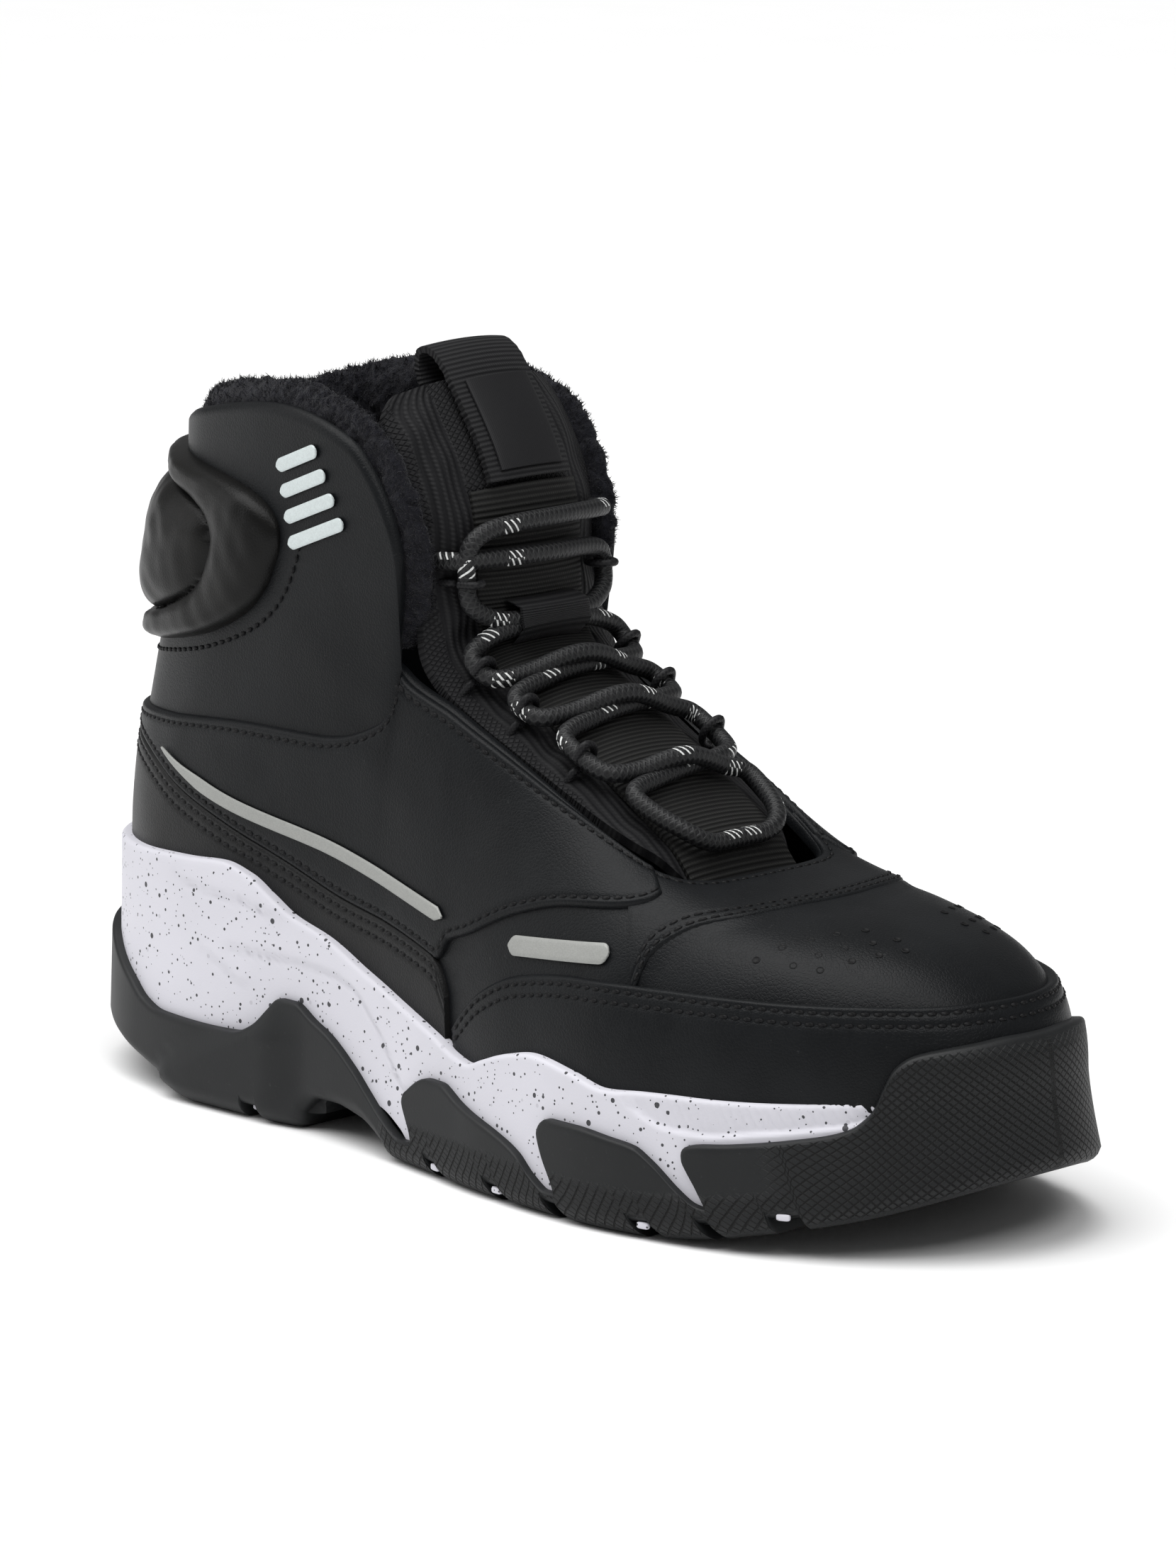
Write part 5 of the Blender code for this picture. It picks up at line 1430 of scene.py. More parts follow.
@dataclass
class Sole:
    """The cup sole: the speckled foam, the rubber tray with its fins and bumpers, and the sock inside."""

    shop: Workshop
    finishes: Finishes
    flank: float = 2.2
    bevel: float = 2.2
    groove: float = 3.7
    wedge: float = 2.4
    slant: float = 0.9
    columns: tuple[tuple[float, float], ...] = (
        (1.0000, 0.820),
        (0.9975, 0.820),
        (0.9900, 0.810),
        (0.9780, 0.795),
        (0.9620, 0.770),
        (0.9500, 0.720),
        (0.9420, 0.640),
        (0.9350, 0.550),
        (0.9260, 0.490),
        (0.9080, 0.445),
        (0.8860, 0.405),
        (0.8680, 0.380),
        (0.8600, 0.330),
        (0.8570, 0.240),
        (0.8520, 0.160),
        (0.8440, 0.170),
        (0.8370, 0.215),
        (0.8290, 0.295),
        (0.8200, 0.344),
        (0.8000, 0.360),
        (0.7680, 0.377),
        (0.7420, 0.377),
        (0.7200, 0.330),
        (0.7110, 0.245),
        (0.7065, 0.150),
        (0.7020, 0.105),
        (0.6910, 0.105),
        (0.6800, 0.150),
        (0.6740, 0.210),
        (0.6550, 0.262),
        (0.6140, 0.328),
        (0.5960, 0.377),
        (0.5800, 0.377),
        (0.5380, 0.310),
        (0.5230, 0.262),
        (0.5180, 0.164),
        (0.5120, 0.115),
        (0.4930, 0.105),
        (0.4830, 0.125),
        (0.4750, 0.170),
        (0.4670, 0.235),
        (0.4580, 0.310),
        (0.4400, 0.410),
        (0.4200, 0.460),
        (0.4050, 0.508),
        (0.3800, 0.508),
        (0.3400, 0.460),
        (0.2900, 0.385),
        (0.2400, 0.335),
        (0.1900, 0.328),
        (0.1400, 0.330),
        (0.1150, 0.360),
        (0.0950, 0.420),
        (0.0700, 0.480),
        (0.0550, 0.515),
        (0.0400, 0.550),
        (0.0260, 0.575),
        (0.0150, 0.590),
        (0.0070, 0.597),
        (0.0020, 0.600),
        (0.0000, 0.600),
    )
    grooves: tuple[tuple[float, float], ...] = (
        (0.905, 0.888),
        (0.848, 0.836),
        (0.790, 0.770),
        (0.700, 0.684),
        (0.630, 0.612),
        (0.545, 0.528),
        (0.285, 0.262),
    )
    creases: tuple[tuple[tuple[float, float], ...], ...] = (
        ((52.7, 55.2), (56.4, 53.8), (67.0, 52.9), (78.3, 52.3), (86.3, 50.8)),
        ((73.7, 40.2), (88.7, 40.2), (102.2, 40.4), (114.9, 39.5), (122.1, 37.2), (128.5, 31.9), (135.1, 25.1), (141.4, 18.1)),
        ((65.1, 37.7), (72.5, 35.0), (76.5, 32.9)),
    )
    lens_low: tuple[tuple[float, float], ...] = (
        (221.0, 32.5),
        (224.0, 29.0),
        (228.5, 26.8),
        (234.0, 25.4),
        (242.0, 25.2),
        (255.6, 27.2),
        (268.7, 29.4),
        (275.9, 31.0),
        (281.0, 34.5),
    )

    def carve(self, points: Array) -> Array:
        """How far the foam's side lies in or out: moulded creases, and the sunken lens beside the ball of the foot."""
        x, z = points[..., 0], points[..., 2]
        out = 0.10 * ripple(points, 40.0, 9)
        for line in self.creases:
            walk = resample(np.array(line), 1.5)
            gap = np.full(x.shape, 1e3)
            level = np.zeros(x.shape)
            for place in walk:
                near = np.hypot(x - place[0], z - place[1])
                level = np.where(near < gap, z - place[1], level)
                gap = np.minimum(gap, near)
            fade = np.clip((x - line[0][0] + 4) / 10, 0, 1)
            out = out - 0.55 * np.exp(-((gap / 0.8) ** 2)) * fade
            out = out + 0.45 * np.exp(-((gap / 6.0) ** 2)) * (level > 0) * fade
        low = table_curve(self.lens_low, np.clip(x, self.lens_low[0][0], self.lens_low[-1][0]))
        inside = (x > self.lens_low[0][0]) & (x < self.lens_low[-1][0])
        return out - 0.9 * ramp(0.0, 0.9, z - low) * inside

    def lens(self, points: Array) -> Array:
        """1 inside the sunken lens and 0 elsewhere."""
        x, z = points[..., 0], points[..., 2]
        low = table_curve(self.lens_low, np.clip(x, self.lens_low[0][0], self.lens_low[-1][0]))
        ends = ramp(self.lens_low[0][0] + 1, self.lens_low[0][0] + 4, x) * ramp(self.lens_low[-1][0] - 1, self.lens_low[-1][0] - 5, x)
        return ramp(0.8, 1.6, z - low) * ends

    def midsole(self) -> None:
        """The foam cup: its side, its softly rounded lip and the footbed."""
        last, cup = self.shop.last, self.shop.cup
        stations = np.linspace(0, 2 * math.pi, 720, endpoint=False)
        wide = last.outline(stations)[:, 0]
        low, top = cup.low(wide), cup.top(wide)
        bed = last.bed(last.feather(stations)[:, 0]) - 0.3
        loops = [cup.point(stations, low + (top - 1.0 - low) * k) for k in np.linspace(0, 1, 44)]
        for turn in np.radians((30, 60, 90)):
            loops.append(cup.point(stations, top - 1.0 + 1.0 * math.sin(turn), -1.0 * (1 - math.cos(turn))))
        loops = np.array(loops)
        out = self.carve(loops)
        ribs = np.sin((loops[..., 0] * 0.93 + loops[..., 2] * 0.55) * 2 * math.pi / 2.1)
        out = out + 0.28 * ribs * self.lens(loops)
        fade = np.clip(np.arange(len(loops)) / 4.0, 0, 1)[:, None]
        loops = loops + last.outward(stations)[None] * (out * fade)[..., None]
        inner = []
        for k in (0.0, 0.33, 0.66, 1.0):
            z = top + (bed - top) * k
            ring = cup.wall(stations, np.maximum(z, bed + 0.3)) - last.outward(stations) * (0.25 if k < 0.5 else 0.0)
            ring[:, 2] = z
            inner.append(ring)
        piece = self.shop.stack("midsole_foam", np.concatenate([loops, np.array(inner)]))
        piece.data.materials.append(self.finishes.foam)
        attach(piece, "root")
        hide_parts("midsole")

    def leaned(self, shares: Array, z: Array) -> Array:
        """The share at which a column that stands at a share passes a height, since the fins' columns lean back."""
        slant = self.slant * smooth([0.0, 0.20, 0.41, 0.85, 0.94, 1.0], [0.0, 0.0, 1.0, 1.0, 0.0, 0.0], shares)
        return np.clip(shares - slant * z / self.shop.last.length, 0, 1)

    def outsole(self) -> None:
        """The rubber tray, with rounded upper edges. "place" is the run round it, the height and the relief."""
        last, cup = self.shop.last, self.shop.cup
        foot, top = np.array(self.columns).T
        edges = [edge + side for groove in self.grooves for edge in groove for side in (0.0015, -0.0015)]
        knots = np.array(sorted(set(foot) | set(edges), reverse=True))
        angles = np.interp(np.linspace(0, len(knots) - 1, 5 * (len(knots) - 1) + 1), np.arange(len(knots)), last.angle(knots))
        shares = last.share(angles)
        climb = cup.heel_top * smooth(-foot, top, -shares)
        grooved = np.zeros(len(shares))
        for front, back in self.grooves:
            grooved = np.maximum(grooved, self.groove * ramp(front + 0.001, front - 0.001, shares) * ramp(back - 0.001, back + 0.001, shares))
        picks = np.concatenate([np.arange(len(shares)), np.arange(len(shares) - 2, 0, -1)])
        side = np.where(np.arange(len(picks)) < len(shares), 1.0, -1.0)

        def loop(z: Array, out: Array | float) -> Array:
            station = side * last.angle(self.leaned(shares, z))[picks]
            place = cup.point(station, z[picks], out)
            ahead, height = place[..., 0], place[..., 2]
            low = np.interp(ahead, [53.4, 88.4], [4.8, 21.4])
            high = np.interp(ahead, [49.7, 59.4, 92.2], [6.9, 15.6, 30.0])
            proud = 1 - np.clip((height - low) / (high - low), 0, 1)
            proud = proud * ramp(49.0, 55.0, ahead) * (1 - ramp(90.0, 106.0, ahead)) * np.clip(out, 0, 1)
            return place + last.outward(station) * (self.wedge * proud)[..., None]

        x = last.outline(last.angle(shares))[:, 0]
        bottom = cup.underside(x) + grooved
        floor = cup.tray(last.outline(last.angle(self.leaned(shares, cup.tray(x))))[:, 0])
        rise = np.maximum(climb, floor + 0.7)
        shoulder = np.minimum(bottom + self.bevel, rise - 0.6)
        loops = []
        for turn in np.radians((0, 30, 60, 90)):
            height = bottom + (shoulder - bottom) * (1 - math.cos(turn))
            loops.append(loop(height, self.flank - self.bevel * (1 - math.sin(turn))))
        for k in np.linspace(0, 1, 18)[1:]:
            loops.append(loop(shoulder + (rise - 0.9 - shoulder) * k, self.flank))
        for turn in np.radians((30, 60, 90)):
            loops.append(loop(rise - 0.9 * (1 - math.sin(turn)), self.flank - 0.9 * (1 - math.cos(turn))))
        for k in (0, 0.25, 0.6, 1.0):
            loops.append(loop(rise * (1 - k) + floor * k, -0.55))
        loops = np.array(loops)
        run = run_of(loops[6])[None, :] + 0 * loops[..., 2]
        height = loops[..., 2]
        plan = loops[..., 0]
        low_fins = ramp(11.5, 9.5, height - last.spring(plan)) * ramp(135.0, 139.0, plan)
        toe = ramp(258.0, 266.0, plan + (height - 20.0) * 0.25) * ramp(49.0, 45.5, height)
        relief = np.clip(np.maximum(low_fins, toe), 0, 1)
        relief[:3] = 0
        relief[-7:] = 0
        place = np.stack([run, height, relief], -1)
        piece = self.shop.stack("outsole_rubber", loops, place)
        piece.data.materials.append(self.finishes.rubber)
        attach(piece, "root")
        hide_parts("outsole")

    def peeks(self) -> None:
        """The foam seen at the heads of the widest tread grooves, as flat rounded lumps."""
        last, cup = self.shop.last, self.shop.cup
        turn, climb = np.meshgrid(np.linspace(0, 2 * math.pi, 16, endpoint=False), np.linspace(-1.4, 1.4, 9), indexing="ij")
        rings, faces = [], []
        number = np.arange(turn.size).reshape(turn.shape)
        after = np.roll(number, -1, axis=0)
        quads = np.stack([number[:, :-1], after[:, :-1], after[:, 1:], number[:, 1:]], -1).reshape(-1, 4)
        for front, back in self.grooves:
            if (front, back) in self.grooves[1:4:2]:
                continue
            for side in Side:
                x = (front + back) / 2 * last.length
                z = float(cup.underside(np.array(x))) + self.groove - 0.75
                share = float(self.leaned(np.array((front + back) / 2), np.array(z)))
                station = -side.value * float(last.angle(share))
                middle = cup.point(np.array(station), np.array(z), self.flank - 0.9)
                way = last.outward(np.array(station))
                along = np.cross(way, (0.0, 0.0, 1.0))
                wide, deep, tall = (
                    np.sign(a) * np.abs(a) ** 0.5
                    for a in (np.cos(climb) * np.cos(turn), np.cos(climb) * np.sin(turn), np.sin(climb))
                )
                ball = 1.7 * wide[..., None] * along + 0.8 * tall[..., None] * np.array([0.0, 0.0, 1.0])
                ball = middle + ball + 0.6 * deep[..., None] * way
                base = len(rings) * turn.size
                rings.append(ball.reshape(-1, 3))
                faces += (base + quads).tolist()
                faces += [(base + number[:, 0]).tolist(), (base + number[:, -1]).tolist()]
        piece = self.shop.mesh("foam_peeks", np.concatenate(rings), faces)
        piece.data.materials.append(self.finishes.foam)
        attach(piece, "root")

    def sock(self) -> None:
        """The sock on the footbed, with a softly rounded edge."""
        last = self.shop.last
        stations = np.linspace(0, 2 * math.pi, 240, endpoint=False)
        loops = []
        for inset, height in ((3.5, 0.0), (3.5, 2.6), (4.0, 3.5), (5.2, 4.0)):
            edge = last.feather(stations) - last.outward(stations) * inset
            edge[:, 2] = last.bed(edge[:, 0]) + height
            loops.append(edge)
        piece = self.shop.stack("insole_sock", np.array(loops))
        piece.data.materials.append(self.finishes.fleece)
        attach(piece, "root")
        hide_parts("insole")

    def build(self) -> None:
        """Makes the sole."""
        self.midsole()
        self.outsole()
        self.peeks()
        self.sock()


@dataclass
class Collar:
    """The collar's soft parts: the padded bolster behind the ankle and the fleece roll."""

    shop: Workshop
    finishes: Finishes
    sewing: Sewing
    reach: float = 0.80
    low: float = 107.0
    high: float = 157.0
    droop: float = 2.5
    swell: float = 4.8
    pad_swell: float = 8.6
    pad_share: float = 0.74
    cuff_height: float = 16.0
    cuff_thick: float = 8.0
    cuff_front: float = 4.6
    cuff_rise: float = 5.0
    cuff_start: float = 0.385
    hairs: int = 14000

    def bolster(self) -> None:
        """The ring and the plump pad inside it, parted by a sewn furrow, with soft folds at its sides.

        The outline is a rounded rectangle: across and the height, each to the power 2.8, add up to 1.
        """
        last = self.shop.last
        across = np.linspace(-1, 1, 160)[:, None]
        levels = np.linspace(-1, 1, 104)[None, :]
        middle, half = (self.low + self.high) / 2, (self.high - self.low) / 2
        narrow = np.clip(1 - np.abs(across) ** 2.8, 0.006, 1) ** (1 / 2.8)
        z = middle + levels * narrow * half + self.droop * across**2
        stations = np.broadcast_to(math.pi + self.reach * across, z.shape)
        size = (np.abs(across) ** 2.8 + np.abs(levels * narrow) ** 2.8) ** (1 / 2.8)
        share = self.pad_share
        through = np.clip((size - share) / (1 - share), 0, 1)
        ring = self.swell * np.clip(1 - np.abs(2 * through - 1) ** 3.4, 0, 1) ** 0.6 * (size > share)
        pad = self.pad_swell * np.clip(1 - (size / share) ** 3, 0, 1) ** 0.45
        out = 0.3 + np.maximum(ring, pad)
        edge = np.clip(out / 3, 0, 1)
        ups = last.up_at(stations, z)
        base = last.point(stations, ups)
        out = out + (0.40 * ripple(base, 22.0, 21) + 0.16 * ripple(base, 8.0, 22)) * edge
        front = last.over(stations, ups, out)
        back = last.over(stations, ups, np.full(ups.shape, -0.4))
        piece = self.shop.slab("heel_pad", front, back)
        piece.data.materials.append(self.finishes.stretch)
        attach(piece, "root")
        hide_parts("collar_bolster")
        turn = np.linspace(math.radians(-8), math.radians(188), 200)
        wide, tall = (np.sign(a) * np.abs(a) ** (2 / 2.8) for a in (np.cos(turn), np.sin(turn)))
        around = math.pi + (self.reach + 0.06) * wide
        up = last.up_at(around, middle - (half + 2.6) * tall + self.droop * wide**2)
        self.sewing.row(last.over(around, up, np.full(200, 0.1)), last.normal(around, up))

    def cuff(self) -> None:
        """The fleece roll: an oval roll along the rim, tufted by two sizes of waves."""
        last = self.shop.last
        start = float(last.angle(self.cuff_start))
        stations = np.linspace(start, 2 * math.pi - start, 420)
        rim = last.rim(stations)
        inward = -last.normal(stations, np.full(len(stations), 0.97))
        along = unit(np.gradient(rim, axis=0))
        inward = unit(inward - along * (inward * along).sum(1, keepdims=True))
        up = unit(np.cross(inward, along))
        up = up * np.sign((up * (rim - last.point(stations, np.full(len(stations), 0.9)))).sum(1, keepdims=True))
        share = np.minimum(np.arange(len(stations)), len(stations) - 1 - np.arange(len(stations))) / (len(stations) / 18)
        close = np.sqrt(np.clip(1 - (1 - np.clip(share, 0, 1)) ** 2, 0.02, 1))[:, None]
        folded = np.minimum(stations, 2 * math.pi - stations)
        knots = [0.0, start, float(last.angle(0.15)), math.pi]
        thick = self.cuff_front + (self.cuff_thick - self.cuff_front) * smooth(knots, [0.0, 0.0, 0.6, 1.0], folded)
        thick = thick[:, None]
        centre = rim + inward * (last.wall + 0.9 + thick / 2) + up * (self.cuff_rise - self.cuff_height / 2) * close
        turn = np.linspace(0, 2 * math.pi, 48, endpoint=False)
        wide = (close * thick / 2 * np.cos(turn))[..., None]
        tall = (close * self.cuff_height / 2 * np.sin(turn))[..., None]
        ring = centre[:, None] + inward[:, None] * wide + up[:, None] * tall
        out = unit(ring - centre[:, None])
        ring = ring + out * (0.55 * ripple(ring, 6.0, 31) + 0.40 * ripple(ring, 2.4, 32) + 0.3)[..., None]
        number = np.arange(ring.size // 3).reshape(ring.shape[:2])
        after = np.roll(number, -1, axis=1)
        quads = np.stack([number[:-1], after[:-1], after[1:], number[1:]], -1).reshape(-1, 4)
        piece = self.shop.mesh("fleece_roll", ring, quads.tolist() + [number[0].tolist(), number[-1].tolist()])
        piece.data.materials.append(self.finishes.fleece)
        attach(piece, "root")
        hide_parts("collar_cuff")
        self.fuzz(ring, out)

    def fuzz(self, skin: Array, out: Array) -> None:
        """Short bent hairs all over the roll: each is a thin three-sided spike with a knee.

        Args:
            skin: The roll's points, rings by corners by three.
            out: The direction out of the roll at each.
        """
        draw = np.random.default_rng(33)
        row, column = draw.integers(0, skin.shape[0] - 1, self.hairs), draw.integers(0, skin.shape[1], self.hairs)
        mix = draw.random((self.hairs, 2, 1))
        beside = (column + 1) % skin.shape[1]
        foot = skin[row, column] * (1 - mix[:, 0]) + skin[row + 1, column] * mix[:, 0]
        foot = foot + (skin[row, beside] - skin[row, column]) * mix[:, 1]
        lean = draw.normal(size=(2, self.hairs, 3)) * np.array([0.45, 0.75])[:, None, None]
        long = draw.uniform(0.7, 1.7, (self.hairs, 1))
        rise = unit(out[row, column] + lean[0])
        knee = foot + rise * long * 0.55
        tip = knee + unit(rise + lean[1]) * long * 0.45
        side = unit(np.cross(rise, lean[1]))
        other = np.cross(rise, side)
        corners = [side * math.cos(a) + other * math.sin(a) for a in (0.0, 2.094, 4.189)]
        lower = [foot - rise * 0.3 + c * 0.11 for c in corners]
        upper = [knee + c * 0.08 for c in corners]
        points = np.stack(lower + upper + [tip], 1)
        shape = [(0, 1, 4, 3), (1, 2, 5, 4), (2, 0, 3, 5)]
        start = (np.arange(self.hairs) * 7)[:, None]
        faces = np.concatenate([start + np.array(quad) for quad in shape]).tolist()
        for corner in ((3, 4, 6), (4, 5, 6), (5, 3, 6), (0, 2, 1)):
            faces += (start + np.array(corner)).tolist()
        piece = self.shop.mesh("fleece_hairs", points, faces)
        piece.data.materials.append(self.finishes.fleece)
        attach(piece, "root")

    def build(self) -> None:
        """Makes the collar's soft parts."""
        self.bolster()
        self.cuff()


@dataclass
class Tongue:
    """The padded tongue, its ribbed tape, the keeper, the webbing pull loop and the bare patch on it."""

    shop: Workshop
    finishes: Finishes
    thick: float = 5.0
    arch: float = 9.0
    lean: float = 8.0
    gap: float = 3.2
    cuff: float = 5.8
    foot: float = -12.0
    beyond: float = 10.0
    tape: float = 34.0
    web: float = 1.2
    lift: float = 0.45
    loop: float = 26.0
    loop_rise: float = 8.0
    loop_thick: float = 1.6
    keeper: tuple[float, float, float] = (98.0, 19.0, 22.0)
    patch: tuple[float, float] = (20.0, 23.0)
    run: Array = field(init=False)
    lines: list = field(init=False)

    def __post_init__(self) -> None:
        """Works out the tongue's middle line between the two edges of the throat, evened out by repeated means."""
        last = self.shop.last
        folded = np.linspace(float(last.angle(0.93)), float(last.angle(0.19)), 90)
        outer, inner = last.rim(folded), last.rim(2 * math.pi - folded)
        run = run_of(outer[:, [0, 2]])
        self.run = np.linspace(0, run[-1], 60)
        lean = self.lean * np.clip((outer[:, 2] / last.collar_height - 0.70) / 0.25, 0, 1)
        columns = np.stack([outer[:, 0] + lean, outer[:, 2], outer[:, 1], inner[:, 1], folded], -1)
        even = np.stack([np.interp(self.run, run, columns[:, k]) for k in range(5)], -1)
        self.lines = list(relax(even, 60).T)
        self.top = self.run[-1] + self.beyond
        self.loop_foot = self.top - self.patch[1] - 5.0

    def point(self, s: Array, side: Array, out: Array | float = 0.0) -> Array:
        """Points over the tongue's front.

        Args:
            s: The distance up from the throat's front end.
            side: From -1 at the outer edge to 1 at the inner one.
            out: How far off the front surface.

        Returns:
            The points. Across, the front is an arch of 1 less side squared, which flattens towards the toe.
        """
        s, side, out = np.broadcast_arrays(*(np.asarray(a, float) for a in (s, side, out)))
        x, z, outer, inner, folded = self.lines
        inside = np.clip(s, 0, self.run[-1])
        beyond = s - inside
        way = unit(np.stack([np.interp(inside, self.run, np.gradient(line, self.run)) for line in (x, z)], -1))
        knots = [0.0, float(self.shop.last.angle(0.42)), float(self.shop.last.angle(0.30)), math.pi]
        gap = self.gap + self.cuff * smooth(knots, [0.0, 0.0, 1.0, 1.0], np.interp(inside, self.run, folded))
        low, high = np.interp(inside, self.run, outer) + gap, np.interp(inside, self.run, inner) - gap
        dip = (self.gap + 1.6) * smooth([-1e3, -2.0, 14.0, 1e3], [1.0, 1.0, 0.0, 0.0], s) + 1.0
        bulge = smooth([0, 0.08, 0.5, 1.0], [0.0, 0.25, 0.85, 1.0], inside / self.run[-1])
        off = self.arch * bulge * (1 - side**2) - dip + out
        across = (low + high) / 2 + side * (high - low) / 2
        ahead = np.interp(inside, self.run, x) + way[..., 0] * beyond + way[..., 1] * off
        above = np.interp(inside, self.run, z) + way[..., 1] * beyond - way[..., 0] * off
        return np.stack([ahead, across, above], -1)

    def half(self, s: Array) -> Array:
        """Half of the tongue's width at a distance up it."""
        return (self.point(s, 1.0)[..., 1] - self.point(s, -1.0)[..., 1]) / 2

    def dress(self, piece: bpy.types.Object, materials: list, node: str, slot: str) -> None:
        """Gives a piece its materials, puts it on the root body and hides its part."""
        for material in materials:
            piece.data.materials.append(material)
        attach(piece, "root")
        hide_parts(node)

    def pad(self) -> None:
        """The padded mesh tongue, its edges rounded, with soft swells between the laces."""
        s = np.linspace(self.foot, self.top, 190)[:, None]
        side = np.linspace(-1, 1, 81)[None, :]
        corner = np.clip((s - (self.top - 9)) / 9, 0, 1)
        narrow = 1 - 0.16 * corner**2.5
        wide = self.half(s)
        edge = np.clip(1 - np.abs(side) ** 6, 0, 1) * np.clip((self.top + 1.5 - s) / 5, 0.3, 1)
        free = ramp(0.52, 0.70, np.abs(side)) * ramp(4.0, 20.0, s)
        puff = (0.55 * np.cos(2 * math.pi * (s - 18) / 22.0) + 0.7 * ripple(self.point(s, side), 13.0, 41)) * free
        roll = 1.0 * np.exp(-(((np.abs(side) - 0.80) / 0.12) ** 2)) * ramp(60.0, 100.0, s)
        front = self.point(s, side * narrow, (puff + roll) * edge)
        back = self.point(s, side * narrow, -self.thick * (0.45 + 0.55 * edge))
        place = np.stack(np.broadcast_arrays(s, side * wide, 0 * s * side), -1)
        piece = self.shop.slab("tongue_pad", front, back, place=place)
        middles = np.empty(len(piece.data.polygons) * 3)
        piece.data.polygons.foreach_get("center", middles)
        across = np.abs((middles.reshape(-1, 3) + self.shop.shift)[:, 1] / MM)
        ribbed = ((across > 16.0) & (across < 25.5)).astype(np.int32)
        self.dress(piece, [self.finishes.mesh, self.finishes.side_rib], "tongue", "black_mesh")
        piece.data.polygons.foreach_set("material_index", ribbed)

    def band(self, name: str, s: Array, wide: float, lift: Array | float, thick: float) -> bpy.types.Object:
        """A flat band over the tongue, its two edges slightly rolled.

        Args:
            name: The piece's name.
            s: Where its rows lie along the tongue.
            wide: Its width.
            lift: How far its back lies off the tongue, for each row or for all.
            thick: Its thickness.
        """
        lift = np.broadcast_to(np.asarray(lift, float).reshape(-1, 1), (len(s), 1))
        level = np.linspace(-1, 1, 41)[None, :]
        across = level * wide / 2 / self.half(s)[:, None]
        crown = thick * (0.72 + 0.28 * np.sqrt(np.clip(1 - level**10, 0, 1)))
        place = np.stack(np.broadcast_arrays(s[:, None], level * wide / 2, 0 * across), -1)
        front = self.point(s[:, None], across, lift + crown)
        return self.shop.slab(name, front, self.point(s[:, None], across, lift + 0 * crown), place=place)

    def straps(self) -> None:
        """The tape, the keeper through which the upper laces run, and the patch."""
        tape = self.band("tongue_ribbing", np.linspace(2.0, self.loop_foot - 1.0, 260), self.tape, self.lift, self.web)
        self.dress(tape, [self.finishes.ribbed], "tongue_tape", "black_webbing")
        middle, length, wide = self.keeper
        along = np.linspace(-1, 1, 90)
        rise = 5.3 * np.sqrt(np.clip((1 - np.abs(along)) / 0.28, 0, 1)) ** 1.4
        base = self.lift + self.web + 0.3
        keeper = self.band("lace_keeper", middle + along * length / 2, wide, base + rise, self.web)
        self.dress(keeper, [self.finishes.webbing], "tongue_keeper", "black_webbing")
        low = self.loop_foot + 2.0
        lift = base + self.loop_thick + 0.3
        patch = self.band("bare_patch", np.linspace(low, low + self.patch[1], 30), self.patch[0], lift, 0.6)
        self.dress(patch, [self.finishes.satin], "tongue_label", "black_satin")

    def pull_loop(self) -> None:
        """The webbing loop: up the front, over the tongue's top in a half circle, and down behind it."""
        base = self.lift + self.web + 0.3
        behind = -(self.thick + self.lift)
        over = np.linspace(0, math.pi, 26)
        centre, radius = (base + behind) / 2, (base - behind) / 2
        rise = np.linspace(self.loop_foot, self.top - 1, 70)
        arc = self.top + self.loop_rise * np.sin(over) + 0.5
        fall = np.linspace(self.top - 1, self.top - 12, 20)
        s = np.concatenate([rise, arc, fall])
        off = np.concatenate([0 * rise + base, centre + radius * np.cos(over), 0 * fall + behind])
        thick = self.loop_thick
        more = np.concatenate([0 * rise, thick * np.sin(over), 0 * fall])
        out = np.concatenate([0 * rise + thick, thick * np.cos(over), 0 * fall - thick])
        level = np.linspace(-1, 1, 41)[None, :]
        tooth = 1 + 0.010 * np.sign(np.sin(run_of(np.stack([s, off], -1)) * 2 * math.pi / 1.9))[:, None]
        across = level * tooth * self.loop / 2 / self.half(np.minimum(s, self.top))[:, None]
        inner = self.point(s[:, None], across, off[:, None])
        outer = self.point((s + more)[:, None], across, (off + out)[:, None])
        run = run_of(self.point(s + more, 0 * s, off + out))[:, None]
        place = np.stack(np.broadcast_arrays(run, level * self.loop / 2, 0 * across), -1)
        piece = self.shop.slab("webbing_loop", outer, inner, place=place)
        self.dress(piece, [self.finishes.webbing], "pull_loop", "black_webbing")

    def build(self) -> None:
        """Makes the tongue and all that lies on it."""
        self.pad()
        self.straps()
        self.pull_loop()


